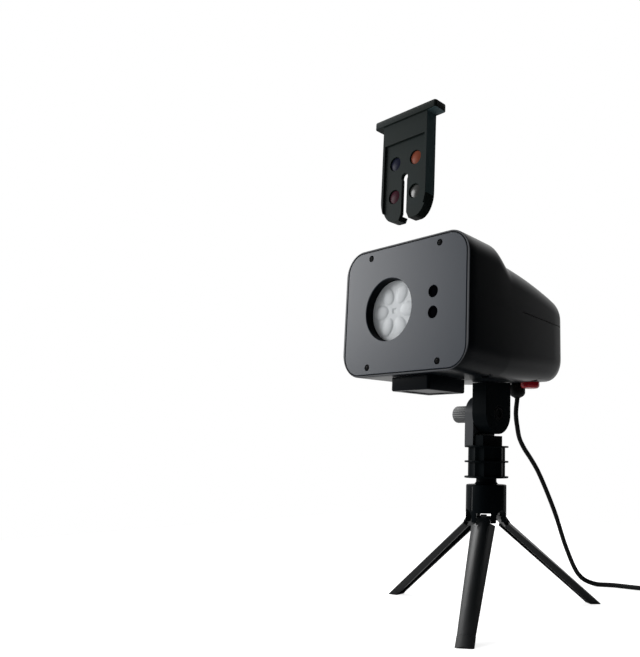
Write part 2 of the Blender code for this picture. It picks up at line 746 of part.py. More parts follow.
def half_shell(name, plastic, head, keep_top):
    """One half of the shell, with its share of the panel's seat."""
    shell = add_piece(name, head_form(0.0), plastic, head, 35.0)
    cut(shell, head_cavity())
    seat = rounded_box(PANEL_WIDTH + 2.0 * GAP, PANEL_HEIGHT + 2.0 * GAP, PANEL_CORNER + GAP, 6)
    seat_back = FRONT_Y + PANEL_THICKNESS + GAP
    cut(shell, prism(head_point(seat), FRONT_Y - 0.002, seat_back, "Y"))
    part = HEAD_Z + PARTING_Z
    if keep_top:
        low, high = part - 0.08, part + 0.5 * GAP
    else:
        low, high = part - 0.5 * GAP, part + 0.08
    cut(shell, block((-0.08, -0.12, low), (0.08, 0.08, high)))
    return shell


def make_shells(head, plastic):
    """The upper and lower shells, with the card's mouth, the bosses and the holes below."""
    upper = half_shell("upper_shell", plastic, head, True)
    lower = half_shell("lower_shell", plastic, head, False)
    boss_front = FRONT_Y + PANEL_THICKNESS + GAP
    boss_back = boss_front + PANEL_BOSS_DEPTH
    for shell, side in ((upper, 1.0), (lower, -1.0)):
        for x in (-PANEL_SCREW_X, PANEL_SCREW_X):
            centre = (x, 0.0, HEAD_Z + side * PANEL_SCREW_Z)
            join(shell, rod(PANEL_BOSS_RADIUS, boss_front + GAP, boss_back, "Y", centre, 14))
            hole = SCREW_SHANK_RADIUS + GAP
            cut(shell, rod(hole, boss_front - 0.001, boss_front + SCREW_LENGTH, "Y", centre, 12))
    for x, y in HOUSING_BOLTS:
        post_low = HEAD_Z + HOUSING_BOSS_TOP + GAP
        roof = HEAD_Z + roof_at(y + BOSS_OUTER_RADIUS) - 0.0021
        place = (x, y, 0.0)
        join(upper, rod(BOSS_OUTER_RADIUS, post_low, roof, "Z", place, 12))
        floor = HEAD_Z + belly_at(y) + 0.5 * SHELL_WALL
        join(lower, rod(BOSS_OUTER_RADIUS, floor, HEAD_Z + HOUSING_BOSS_TOP, "Z", place, 12))
        hole = HOUSING_SHANK_RADIUS + GAP
        tip = HEAD_Z + HOUSING_SEAT + HOUSING_SCREW_LENGTH + 2.0 * GAP
        cut(upper, rod(hole, post_low - 0.001, tip, "Z", place, 12))
        bottom = HEAD_Z - HOOD_HALF_HEIGHT - 0.002
        wide = HOUSING_HEAD_RADIUS + GAP
        seat = HEAD_Z + HOUSING_SEAT
        top = HEAD_Z + HOUSING_BOSS_TOP + 0.001
        bore = ((0.0, bottom), (wide, bottom), (wide, seat), (hole, seat), (hole, top), (0.0, top))
        cut(lower, turned(bore, "Z", place, 14))
    cut_card_mouth(upper)
    underside = HEAD_Z - HOOD_HALF_HEIGHT - 0.002
    inside = HEAD_Z + belly_at(BUTTON_Y) + 0.012
    cut(lower, rod(BUTTON_RADIUS + GAP, underside, inside, "Z", (BUTTON_X, BUTTON_Y, 0.0), 28))
    cut(lower, rod(GLAND_NECK_RADIUS + GAP, underside, inside, "Z", (0.0, GLAND_Y, 0.0), 20))


def cut_card_mouth(upper):
    """The slot that the card goes down through, and the pocket that its flange rests in."""
    roof = HEAD_Z + HOOD_HALF_HEIGHT
    centre = (LENS_X, CARD_MIDDLE_Y)
    wide = CARD_WIDTH + 2.0 * CARD_GAP
    slot = rounded_box(wide, CARD_DEPTH + 2.0 * CARD_GAP, 0.0012, 3, centre)
    cut(upper, prism(slot, roof - 0.008, roof + 0.002))
    wide = FLANGE_CARD_WIDTH + 2.0 * CARD_GAP
    pocket = rounded_box(wide, FLANGE_CARD_DEPTH + 2.0 * CARD_GAP, 0.0022, 4, centre)
    cut(upper, prism(pocket, roof - POCKET_DEPTH, roof + 0.002))


def screw(name, metal, empty, place, axis, head_size, shank_size):
    """A screw with a round head and a cross in it, whose head faces down the axis from place."""
    head_radius, head_depth = head_size
    shank_radius, length = shank_size
    profile = (
        (0.0, 0.0),
        (0.8 * head_radius, 0.0),
        (head_radius, 0.25 * head_depth),
        (head_radius, head_depth),
        (shank_radius, head_depth),
        (shank_radius, length - shank_radius),
        (0.4 * shank_radius, length),
        (0.0, length),
    )
    piece = add_piece(name, turned(profile, axis, place, 12), metal, empty)
    arm = 0.62 * head_radius
    thin = 0.14 * head_radius
    cross = []
    for turn in range(4):
        for across, along in ((thin, thin), (thin, arm), (-thin, arm)):
            angle = math.radians(90.0 * turn)
            x = across * math.cos(angle) - along * math.sin(angle)
            cross.append((x, across * math.sin(angle) + along * math.cos(angle)))
    if axis == "Y":
        shifted = [(place[0] + x, place[2] + z) for x, z in cross]
        cut(piece, prism(shifted, place[1] - 0.001, place[1] + 0.55 * head_depth, "Y"))
    else:
        shifted = [(place[0] + x, place[1] + y) for x, y in cross]
        cut(piece, prism(shifted, place[2] - 0.001, place[2] + 0.55 * head_depth))


def make_panel(head, plastic, metal, dark):
    """The front panel: lens collar, four recessed screws and the two laser windows."""
    outline = head_point(rounded_box(PANEL_WIDTH, PANEL_HEIGHT, PANEL_CORNER, 8))
    back = FRONT_Y + PANEL_THICKNESS
    panel = add_piece("front_panel", prism(outline, FRONT_Y, back, "Y"), plastic, head)
    lens = (LENS_X, 0.0, HEAD_Z)
    collar = FRONT_Y + COLLAR_DEPTH
    edge = 0.0005
    number = 1
    for x in (-PANEL_SCREW_X, PANEL_SCREW_X):
        for z in (PANEL_SCREW_Z, -PANEL_SCREW_Z):
            place = (x, 0.0, HEAD_Z + z)
            wide = SCREW_HEAD_RADIUS + GAP
            hole = SCREW_SHANK_RADIUS + GAP
            step = FRONT_Y + SCREW_RECESS
            bore = ((wide, FRONT_Y - edge), (wide, step), (hole, step), (hole, back + edge))
            bore = ((0.0, FRONT_Y - edge), *bore, (0.0, back + edge))
            cut(panel, turned(bore, "Y", place, 16))
            start = FRONT_Y + SCREW_RECESS - SCREW_HEAD_DEPTH - GAP
            size = (SCREW_HEAD_RADIUS, SCREW_HEAD_DEPTH)
            shank = (SCREW_SHANK_RADIUS, SCREW_LENGTH)
            screw(f"panel_screw_{number}", metal, head, (x, start, HEAD_Z + z), "Y", size, shank)
            number += 1
    for index, z in enumerate((LASER_Z, -LASER_Z), 1):
        place = (LASER_X, 0.0, HEAD_Z + z)
        hole = LASER_WINDOW_RADIUS + GAP
        cut(panel, rod(hole, FRONT_Y - edge, back + edge, "Y", place, 24))
        front = FRONT_Y + LASER_WINDOW_RECESS
        window = rod(LASER_WINDOW_RADIUS, front, front + LASER_WINDOW_THICKNESS, "Y", place, 24)
        add_piece(f"laser_window_{index}", window, dark, head)
    join(panel, rod(APERTURE_RADIUS + COLLAR_WALL, FRONT_Y + 0.0011, collar, "Y", lens, 48))
    mouth = (
        (0.0, FRONT_Y - edge),
        (APERTURE_RADIUS + 2.0 * edge, FRONT_Y - edge),
        (APERTURE_RADIUS, FRONT_Y + edge),
        (APERTURE_RADIUS, collar + 2.0 * edge),
        (0.0, collar + 2.0 * edge),
    )
    cut(panel, turned(mouth, "Y", lens, 48))


def make_lens(spin, frosted, metal):
    """The turning lens disc with its oval facets, and the shaft that turns it."""
    lens = (LENS_X, 0.0, HEAD_Z)
    radius = APERTURE_RADIUS - DISC_CLEARANCE
    back = DISC_FRONT + DISC_THICKNESS
    rings = []
    shares = (0.10, 0.19, 0.30, 0.40, 0.50, 0.60, 0.70, 0.80, 0.89, 1.0)
    count = 8 * FACET_COUNT
    for share in shares:
        rings.append([lens_point(share * radius, step, count) for step in range(count)])
    rings.append([Vector((ring.x, back, ring.z)) for ring in rings[-1]])
    disc = add_piece("lens_disc", loft(rings), frosted, spin, 60.0)
    blind = DISC_THICKNESS - DISC_SKIN
    cut(disc, rod(SHAFT_RADIUS + GAP, back - blind, back + 0.001, "Y", lens, 16))
    end = MOTOR_FRONT + SHAFT_GRIP
    add_piece("motor_shaft", rod(SHAFT_RADIUS, back - blind + GAP, end, "Y", lens, 16), metal, spin)


def lens_point(radius, step, count):
    """A point on the lens disc's face, raised where a facet or the middle hub is."""
    angle = math.tau * step / count
    y = DISC_FRONT
    if radius < LENS_HUB_RADIUS:
        y -= 0.5 * FACET_HEIGHT
    for facet in range(FACET_COUNT):
        middle = math.tau * facet / FACET_COUNT
        along = radius * math.cos(angle - middle) - FACET_REACH
        across = radius * math.sin(angle - middle)
        away = (along / FACET_HALF_LENGTH) ** 2 + (across / FACET_HALF_WIDTH) ** 2
        if away < 1.0:
            y -= FACET_HEIGHT * math.sqrt(1.0 - away)
    return Vector((LENS_X + radius * math.cos(angle), y, HEAD_Z + radius * math.sin(angle)))


def card_outline():
    """The card's front view from the middle of its bottom edge, with its slot."""
    half = 0.5 * CARD_WIDTH
    slot = 0.5 * CARD_SLOT_WIDTH
    bend = half - CARD_TOE_HALF_WIDTH
    curve = []
    for step in range(9):
        angle = math.radians(90.0 * step / 8)
        x = CARD_TOE_HALF_WIDTH + bend * math.sin(angle)
        curve.append((x, CARD_SHOULDER * (1.0 - math.cos(angle))))
    mirrored = [(-x, z) for x, z in reversed(curve)]
    head = CARD_HEIGHT - SEAT_Z + HEAD_Z
    low = math.degrees(math.asin(math.sqrt(1.0 - (slot / CARD_SLOT_HEAD_RADIUS) ** 2)))
    keyhole = arc((0.0, head), CARD_SLOT_HEAD_RADIUS, 180.0 + low, -low, 14)
    lead = slot + 0.5 * CARD_NOTCH
    left = [(-lead, 0.0), (-slot, CARD_NOTCH)]
    right = [(slot, CARD_NOTCH), (lead, 0.0)]
    top = CARD_HEIGHT + 0.001
    return [*curve, (half, top), (-half, top), *mirrored, *left, *keyhole, *right]


def make_card(card, plastic, filters):
    """The slide card in its raised place, with four colour windows round its shaft slot."""
    seat = SEAT_Z + CARD_LIFT
    bottom = seat - CARD_HEIGHT
    outline = [(LENS_X + x, bottom + z) for x, z in card_outline()]
    body = add_piece("slide_card", prism(outline, CARD_FRONT, CARD_BACK, "Y"), plastic, card)
    rim = 0.5 * CARD_WIDTH - CARD_RAIL
    face = CARD_FRONT + CARD_FACE_RECESS
    low = (LENS_X - rim, CARD_FRONT - 0.001, bottom - 0.001)
    cut(body, block(low, (LENS_X + rim, face, seat - CARD_HEAD_HEIGHT)))
    centre = (LENS_X, CARD_MIDDLE_Y)
    flange = rounded_box(FLANGE_CARD_WIDTH, FLANGE_CARD_DEPTH, 0.0020, 4, centre)
    soft = rounded_box(FLANGE_CARD_WIDTH - 0.0012, FLANGE_CARD_DEPTH - 0.0012, 0.0014, 4, centre)
    top = seat + FLANGE_CARD_HEIGHT
    levels = ((flange, seat), (flange, top - 0.0006), (soft, top))
    cap = [[Vector((x, y, height)) for x, y in outline] for outline, height in levels]
    join(body, loft(cap))
    shaft = HEAD_Z + CARD_LIFT
    number = 1
    for x in (-FILTER_X, FILTER_X):
        for z in (FILTER_Z, -FILTER_Z):
            place = (LENS_X + x, 0.0, shaft + z)
            wide = FILTER_RADIUS + GAP
            step = face + FILTER_THICKNESS + 2.0 * GAP
            hole = FILTER_HOLE_RADIUS
            bore = ((0.0, face - 0.001), (wide, face - 0.001), (wide, step), (hole, step))
            bore = (*bore, (hole, CARD_BACK + 0.001), (0.0, CARD_BACK + 0.001))
            cut(body, turned(bore, "Y", place, 20))
            disc = rod(FILTER_RADIUS, face + GAP, face + GAP + FILTER_THICKNESS, "Y", place, 20)
            add_piece(f"card_window_{number}", disc, filters[number - 1], card)
            number += 1


def make_light_engine(head, plastic, board, metal, lamp):
    """The card's guide, the four lamps behind it, their board, heat sink and motor."""
    lens = (LENS_X, 0.0, HEAD_Z)
    inner = 0.5 * CARD_WIDTH + CARD_GAP
    outer = inner + FRAME_WALL
    back = GUIDE_BACK + FRAME_WALL
    outline = (
        (LENS_X - outer, CARD_FRONT),
        (LENS_X - inner, CARD_FRONT),
        (LENS_X - inner, GUIDE_BACK),
        (LENS_X + inner, GUIDE_BACK),
        (LENS_X + inner, CARD_FRONT),
        (LENS_X + outer, CARD_FRONT),
        (LENS_X + outer, back),
        (LENS_X - outer, back),
    )
    floor = HEAD_Z - HOOD_HALF_HEIGHT + SHELL_WALL + GAP
    frame = add_piece("light_frame", prism(outline, floor, HEAD_Z + FRAME_RISE), plastic, head)
    hole = SHAFT_RADIUS + 2.0 * GAP
    cut(frame, rod(hole, GUIDE_BACK - 0.001, back + 0.001, "Y", lens, 16))
    half = 0.5 * LED_BOARD_SIZE
    board_back = BOARD_FRONT + BOARD_THICKNESS
    low = (LENS_X - half, BOARD_FRONT, HEAD_Z - half)
    plate = add_piece("led_board", block(low, (LENS_X + half, board_back, HEAD_Z + half)), board, head)
    cut(plate, rod(hole, BOARD_FRONT - 0.001, board_back + 0.001, "Y", lens, 16))
    number = 1
    for x in (-FILTER_X, FILTER_X):
        for z in (FILTER_Z, -FILTER_Z):
            place = (LENS_X + x, 0.0, HEAD_Z + z)
            cut(frame, rod(LED_RADIUS + GAP, GUIDE_BACK - 0.001, back + 0.001, "Y", place, 20))
            dome = (
                (0.0, GUIDE_BACK + GAP),
                (0.6 * LED_RADIUS, GUIDE_BACK + 2.0 * GAP),
                (LED_RADIUS, GUIDE_BACK + 0.5 * FRAME_WALL),
                (LED_RADIUS, BOARD_FRONT - GAP),
                (0.0, BOARD_FRONT - GAP),
            )
            add_piece(f"led_{number}", turned(dome, "Y", place, 20), lamp, head)
            number += 1
    base = SINK_FRONT + SINK_BASE
    fins = [(LENS_X - half, SINK_FRONT), (LENS_X + half, SINK_FRONT)]
    pitch = LED_BOARD_SIZE / (SINK_FINS - 0.5)
    for fin in reversed(range(SINK_FINS)):
        left = LENS_X - half + fin * pitch
        right = left + 0.5 * pitch
        tip = base + SINK_FIN_LENGTH
        fins += [(right, base), (right, tip), (left, tip), (left, base)]
    sink_outline = [point for index, point in enumerate(fins) if index != 2 and index != len(fins) - 1]
    sink_form = prism(sink_outline, HEAD_Z - half, HEAD_Z + half)
    sink = add_piece("heat_sink", sink_form, metal, head)
    cut(sink, rod(hole, SINK_FRONT - 0.001, base + SINK_FIN_LENGTH + 0.001, "Y", lens, 16))
    end = MOTOR_FRONT + MOTOR_LENGTH
    can = (
        (SHAFT_RADIUS + GAP, MOTOR_FRONT),
        (MOTOR_RADIUS - 0.0008, MOTOR_FRONT),
        (MOTOR_RADIUS, MOTOR_FRONT + 0.0008),
        (MOTOR_RADIUS, end - 0.0008),
        (MOTOR_RADIUS - 0.0008, end),
        (SHAFT_RADIUS + GAP, end),
    )
    add_piece("motor", turned(can, "Y", lens, 24), metal, head)


def make_lasers(head, metal, plastic):
    """The two laser modules behind their windows, in one bracket that stands on the floor."""
    half = LASER_RADIUS + LASER_BRACKET_WALL
    floor = HEAD_Z - HOOD_HALF_HEIGHT + SHELL_WALL + GAP
    top = HEAD_Z + LASER_Z + half
    front, back = LASER_BRACKET_SPAN
    low = (LASER_X - half, front, floor)
    bracket = add_piece("laser_bracket", block(low, (LASER_X + half, back, top)), plastic, head)
    nose = FRONT_Y + LASER_WINDOW_RECESS + LASER_WINDOW_THICKNESS + GAP
    body = FRONT_Y + PANEL_THICKNESS + 2.0 * GAP
    for index, z in enumerate((LASER_Z, -LASER_Z), 1):
        place = (LASER_X, 0.0, HEAD_Z + z)
        cut(bracket, rod(LASER_RADIUS + GAP, front - 0.001, back + 0.001, "Y", place, 20))
        profile = (
            (0.0, nose),
            (LASER_WINDOW_RADIUS - GAP, nose),
            (LASER_WINDOW_RADIUS - GAP, body),
            (LASER_RADIUS, body),
            (LASER_RADIUS, body + LASER_LENGTH),
            (0.0, body + LASER_LENGTH),
        )
        add_piece(f"laser_module_{index}", turned(profile, "Y", place, 20), metal, head)


def make_underside(head, button, plastic, dark, rubber, red, board, metal):
    """What hangs below the head and what it works inside: pod, gland, button, switch and board."""
    pod_top = HEAD_Z - HOOD_HALF_HEIGHT - GAP
    bottom = pod_top + GAP - POD_HEIGHT
    middle = (0.0, 0.5 * (POD_FRONT_Y + POD_BACK_Y))
    length = POD_BACK_Y - POD_FRONT_Y
    wide = rounded_box(2.0 * POD_HALF_WIDTH, length, 0.0025, 4, middle)
    narrow = rounded_box(2.0 * POD_HALF_WIDTH - 0.0014, length - 0.0014, 0.0018, 4, middle)
    levels = ((narrow, bottom), (wide, bottom + 0.0007), (wide, pod_top))
    rings = [[Vector((x, y, height)) for x, y in outline] for outline, height in levels]
    pod = add_piece("sensor_pod", loft(rings), plastic, head)
    across = 2.0 * (POD_HALF_WIDTH - POD_WINDOW_INSET)
    along = length - 2.0 * POD_WINDOW_INSET
    recess = rounded_box(across, along, 0.0020, 4, middle)
    depth = 0.0022
    cut(pod, prism(recess, bottom - 0.001, bottom + depth))
    pane = rounded_box(across - 2.0 * GAP, along - 2.0 * GAP, 0.0017, 4, middle)
    add_piece("sensor_window", prism(pane, bottom + 0.0007, bottom + depth - GAP), dark, head)

    skin = HEAD_Z + belly_at(GLAND_Y)
    neck_top = skin + SHELL_WALL + 0.0066
    low = GLAND_BOTTOM_Z
    lower_rim = low + 0.0040
    profile = (
        (0.0, low),
        (0.50 * GLAND_RADIUS, low),
        (0.80 * GLAND_RADIUS, low + 0.0012),
        (GLAND_RADIUS, lower_rim),
        (GLAND_RADIUS, skin - 0.0012),
        (GLAND_NECK_RADIUS, skin - GAP),
        (GLAND_NECK_RADIUS, neck_top),
        (0.0, neck_top),
    )
    place = (0.0, GLAND_Y, 0.0)
    gland = add_piece("cord_gland", turned(profile, "Z", place, 20), rubber, head)
    bore_top = low + GLAND_BORE_DEPTH
    cut(gland, rod(CORD_RADIUS + GAP, low - 0.001, bore_top, "Z", place, 16))
    nut_low = neck_top - 0.0026
    ring = (
        (GLAND_NECK_RADIUS + GAP, nut_low),
        (GLAND_NECK_RADIUS + 0.0013, nut_low),
        (GLAND_NECK_RADIUS + 0.0013, neck_top),
        (GLAND_NECK_RADIUS + GAP, neck_top),
    )
    add_piece("gland_nut", turned(ring, "Z", place, 20), plastic, head)

    rim = 0.0026
    shoulder = BUTTON_FLANGE_Z
    top = shoulder + 0.0015
    profile = (
        (0.0, BUTTON_BOTTOM_Z),
        (BUTTON_RADIUS - rim, BUTTON_BOTTOM_Z),
        (BUTTON_RADIUS - 0.5 * rim, BUTTON_BOTTOM_Z + 0.14 * rim),
        (BUTTON_RADIUS - 0.14 * rim, BUTTON_BOTTOM_Z + 0.5 * rim),
        (BUTTON_RADIUS, BUTTON_BOTTOM_Z + rim),
        (BUTTON_RADIUS, shoulder),
        (BUTTON_RADIUS + 0.0011, shoulder),
        (BUTTON_RADIUS + 0.0011, top),
        (0.0, top),
    )
    cap = turned(profile, "Z", (BUTTON_X, BUTTON_Y, 0.0), 28)
    add_piece("power_button", cap, red, button)
    switch_low = top + BUTTON_TRAVEL + GAP
    board_low = HEAD_Z + CONTROL_BOARD_Z
    half = 0.0060
    low_corner = (BUTTON_X - half, BUTTON_Y - half, switch_low)
    high_corner = (BUTTON_X + half, BUTTON_Y + half, board_low - GAP)
    add_piece("power_switch", block(low_corner, high_corner), plastic, head)
    left, right, front, back = CONTROL_BOARD
    high_corner = (right, back, board_low + BOARD_THICKNESS)
    add_piece("control_board", block((left, front, board_low), high_corner), board, head)

    size = (HOUSING_HEAD_RADIUS, HOUSING_HEAD_DEPTH)
    shank = (HOUSING_SHANK_RADIUS, HOUSING_SCREW_LENGTH)
    for index, (x, y) in enumerate(HOUSING_BOLTS, 1):
        place = (x, y, HEAD_Z + HOUSING_SEAT - HOUSING_HEAD_DEPTH - GAP)
        screw(f"housing_screw_{index}", metal, head, place, "Z", size, shank)


def smooth_route(points, step):
    """Places about a step apart on a smooth curve through the points."""
    spots = [Vector(point) for point in points]
    spots = [2.0 * spots[0] - spots[1], *spots, 2.0 * spots[-1] - spots[-2]]
    route = [spots[1]]
    for before, start, end, after in zip(spots, spots[1:], spots[2:], spots[3:]):
        count = max(1, round((end - start).length / step))
        for index in range(1, count + 1):
            t = index / count
            bend = (end - before) * t + (2.0 * before - 5.0 * start + 4.0 * end - after) * t**2
            bend += (3.0 * start - before - 3.0 * end + after) * t**3
            route.append(start + 0.5 * bend)
    return route


def cord_tube(name, route, sides, rubber, empty):
    """A round cord along a route, with closed ends."""
    data = bpy.data.curves.new(name, "CURVE")
    data.dimensions = "3D"
    data.bevel_depth = CORD_RADIUS
    data.bevel_resolution = (sides - 4) // 2
    data.use_fill_caps = True
    spline = data.splines.new("POLY")
    spline.points.add(len(route) - 1)
    for point, place in zip(spline.points, route):
        point.co = (*(place - Vector(empty["place"])), 1.0)
    data.materials.append(rubber)
    obj = bpy.data.objects.new(name, data)
    bpy.context.collection.objects.link(obj)
    obj.parent = empty
    return obj


def coil_centre():
    """The middle of the coil on the floor."""
    end = Vector(CORD_ROUTE[-1])
    return end + Vector((GAP + COIL_LEAD, COIL_OUTER, 0.0))


def coil_route():
    """The wound cord: in, out and in again over three layers, then up to the plug."""
    centre = coil_centre()
    start = Vector(CORD_ROUTE[-1]) + Vector((GAP, 0.0, 0.0))
    route = [start, start + Vector((0.25 * COIL_LEAD, 0.0, 0.0))]
    route += [start + Vector((0.5 * COIL_LEAD, 0.0, 0.0)), start + Vector((0.8 * COIL_LEAD, 0.0, 0.0))]
    inner = COIL_OUTER - COIL_PITCH * TURNS_PER_LAYER
    steps = round(TURNS_PER_LAYER * POINTS_PER_TURN)
    half = POINTS_PER_TURN // 2
    total = 0
    height = 0.0
    for layer in range(COIL_LAYERS):
        near, far = (COIL_OUTER, inner) if layer % 2 == 0 else (inner, COIL_OUTER)
        for index in range(steps):
            radius = near + (far - near) * index / steps
            route.append(coil_point(centre, radius, total, height))
            total += 1
        rise = LAYER_PITCH if layer < COIL_LAYERS - 1 else PLUG_RISE
        for index in range(half):
            route.append(coil_point(centre, far, total, height + rise * index / half))
            total += 1
        height += rise
    last = coil_point(centre, inner, total, height)
    return [*route, last, last + Vector((COIL_TAIL, 0.0, 0.0))]


def coil_point(centre, radius, step, height):
    """A place on the coil after so many steps round it."""
    angle = math.radians(-90.0) + math.tau * step / POINTS_PER_TURN
    return centre + Vector((radius * math.cos(angle), radius * math.sin(angle), height))


def make_cord(head, post, rubber, dark, metal):
    """The cord from the gland to the floor, its coil, the tie round it and the plug on top."""
    cord_tube("cord", smooth_route(CORD_ROUTE, CORD_STEP), 8, rubber, head)
    route = coil_route()
    cord_tube("cord_coil", route, 6, rubber, post)
    centre = coil_centre()
    inner = COIL_OUTER - COIL_PITCH * TURNS_PER_LAYER
    slack = CORD_RADIUS + 2.0 * GAP
    across = (COIL_OUTER - inner) + 2.0 * slack
    tall = LAYER_PITCH * (COIL_LAYERS - 1) + 2.0 * slack
    middle = (centre.x + 0.5 * (COIL_OUTER + inner), centre.z + 0.5 * (tall - 2.0 * slack))
    inside = rounded_box(across, tall, 0.002, 3, middle)
    outside = rounded_box(across + 2.0 * TIE_THICKNESS, tall + 2.0 * TIE_THICKNESS, 0.003, 3, middle)
    rings = []
    for outline, shift in ((inside, -0.5), (outside, -0.5), (outside, 0.5), (inside, 0.5)):
        rings.append([Vector((x, centre.y + shift * TIE_WIDTH, z)) for x, z in outline])
    add_piece("coil_tie", ring_form(rings), dark, post)
    end = route[-1] + Vector((GAP, 0.0, 0.0))
    outline = rounded_box(PLUG_WIDTH, PLUG_THICKNESS, 0.0025, 4, (end.y, end.z))
    slim = rounded_box(0.55 * PLUG_WIDTH, 0.8 * PLUG_THICKNESS, 0.0022, 4, (end.y, end.z))
    stages = ((slim, 0.0), (slim, 0.005), (outline, 0.008), (outline, PLUG_LENGTH))
    rings = [[Vector((end.x + along, y, z)) for y, z in shape] for shape, along in stages]
    add_piece("usb_plug", loft(rings), dark, post)
    shell = rounded_box(0.0120, 0.0045, 0.0004, 2, (end.y, end.z))
    hollow = rounded_box(0.0112, 0.0037, 0.0003, 2, (end.y, end.z))
    start = end.x + PLUG_LENGTH + GAP
    piece = add_piece("usb_shell", prism(shell, start, start + 0.0119, "X"), metal, post)
    cut(piece, prism(hollow, start + 0.0015, start + 0.0125, "X"))


def ring_form(rings):
    """A closed band through rings that lead back to the first one."""
    bm = bmesh.new()
    rows = [[bm.verts.new(point) for point in ring] for ring in rings]
    for near, far in zip(rows, [*rows[1:], rows[0]]):
        for index in range(len(near)):
            after = (index + 1) % len(near)
            bm.faces.new((near[index], near[after], far[after], far[index]))
    return bm


def main():
    """Builds every piece of the projector on its joint's empty."""
    clear_scene()
    shell = material("shell_black", (0.016, 0.016, 0.018), 0.42)
    panel = material("panel_charcoal", (0.035, 0.036, 0.040), 0.38)
    plastic = material("tripod_black", (0.018, 0.018, 0.020), 0.40)
    inside = material("inside_plastic", (0.05, 0.05, 0.055), 0.55)
    dark = material("dark_window", (0.004, 0.004, 0.006), 0.12)
    frosted = material("frosted_lens", (0.58, 0.60, 0.61), 0.30)
    card_mat = material("card_plastic", (0.022, 0.026, 0.022), 0.40)
    red = material("button_red", (0.32, 0.010, 0.012), 0.35)
    rubber = material("cord_rubber", (0.012, 0.012, 0.013), 0.55)
    steel = material("dark_steel", (0.10, 0.10, 0.11), 0.35, 1.0)
    bright = material("bright_steel", (0.55, 0.56, 0.58), 0.30, 1.0)
    board = material("circuit_board", (0.02, 0.10, 0.05), 0.45)
    lamp = material("lamp_dome", (0.70, 0.70, 0.62), 0.20)
    filters = [
        material("filter_violet", (0.18, 0.10, 0.50), 0.15),
        material("filter_magenta", (0.50, 0.03, 0.16), 0.15),
        material("filter_orange", (0.60, 0.10, 0.02), 0.15),
        material("filter_clear", (0.55, 0.58, 0.60), 0.15),
    ]
    root = frame_empty("tripod_axis", (0.0, 0.0, 0.0))
    root.location = (AXIS_X, AXIS_Y, 0.0)
    post = frame_empty("pan_axis", (0.0, 0.0, POST_BOTTOM), root)
    head = frame_empty("tilt_axis", (0.0, 0.0, PIVOT_Z), post)
    clamp = frame_empty("clamp_axis", (EAR_LEFT, 0.0, PIVOT_Z), post)
    spin = frame_empty("lens_axis", (LENS_X, DISC_FRONT, HEAD_Z), head)
    button = frame_empty("button_axis", (BUTTON_X, BUTTON_Y, BUTTON_BOTTOM_Z), head)
    card = frame_empty("card_axis", (LENS_X, CARD_MIDDLE_Y, SEAT_Z + CARD_LIFT), head)
    make_hub(root, plastic)
    make_stud(root, bright)
    for index, angle in enumerate(leg_angles(), 1):
        make_leg(index, angle, root, plastic, rubber)
        pin = spun(pin_form(PIN_RADIUS, PIN_LENGTH), angle)
        add_piece(f"leg_pin_{index}", pin, bright, root)
    make_post(post, plastic)
    make_clamp(clamp, plastic, bright)
    make_lug(head, shell, bright)
    make_shells(head, shell)
    make_panel(head, panel, steel, dark)
    make_lens(spin, frosted, bright)
    make_card(card, card_mat, filters)
    make_light_engine(head, inside, board, bright, lamp)
    make_lasers(head, bright, inside)
    make_underside(head, button, shell, dark, rubber, red, board, steel)
    make_cord(head, post, rubber, inside, bright)


main()
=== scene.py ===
"""Laser and slide projector on its folding tripod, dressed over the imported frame.

Lengths are in metres. Places are worked out from the tripod's axis on the floor and moved by AXIS
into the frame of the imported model. GAP is the clearance between pieces, a cut runs PAST the face
that it opens, and a face within NEAR of a place counts as lying on it.
"""

import logging
import math
from collections.abc import Callable, Iterable, Sequence
from dataclasses import dataclass
from enum import Enum

import bmesh
import bpy
from mathutils import Matrix, Vector

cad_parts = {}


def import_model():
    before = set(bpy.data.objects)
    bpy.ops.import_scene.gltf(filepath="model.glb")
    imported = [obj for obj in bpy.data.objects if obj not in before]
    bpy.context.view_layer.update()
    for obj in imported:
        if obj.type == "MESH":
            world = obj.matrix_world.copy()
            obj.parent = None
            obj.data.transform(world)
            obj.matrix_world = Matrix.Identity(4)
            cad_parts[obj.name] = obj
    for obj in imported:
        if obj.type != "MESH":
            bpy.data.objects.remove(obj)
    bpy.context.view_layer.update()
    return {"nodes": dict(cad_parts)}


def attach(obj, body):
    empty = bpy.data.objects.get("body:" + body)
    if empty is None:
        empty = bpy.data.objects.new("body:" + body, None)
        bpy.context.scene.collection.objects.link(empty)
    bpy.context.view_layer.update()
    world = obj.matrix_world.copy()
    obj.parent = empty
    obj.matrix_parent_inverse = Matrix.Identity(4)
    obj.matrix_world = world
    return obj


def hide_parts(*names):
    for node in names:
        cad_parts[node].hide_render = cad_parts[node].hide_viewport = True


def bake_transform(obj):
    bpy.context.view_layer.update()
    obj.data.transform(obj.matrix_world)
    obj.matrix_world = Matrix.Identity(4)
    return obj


LOG = logging.getLogger("projector")
AXIS = Vector((0.0190, 0.00565, 0.0))
GAP = 0.0003
PAST = 0.001
NEAR = 0.0002
HEAD_Z = 0.2162
PIVOT_Z = 0.1474
LENS_X = -0.0142
FRONT_Y = -0.0986

Point = tuple[float, float]
Place = tuple[float, float, float]
Outline = list[Point]
Ring = list[Vector]


class Direction(Enum):
    """A direction that a form is drawn out or turned along."""

    X = "X"
    Y = "Y"
    Z = "Z"


class Joining(Enum):
    """How one form is combined with another."""

    ADD = "UNION"
    CUT = "DIFFERENCE"


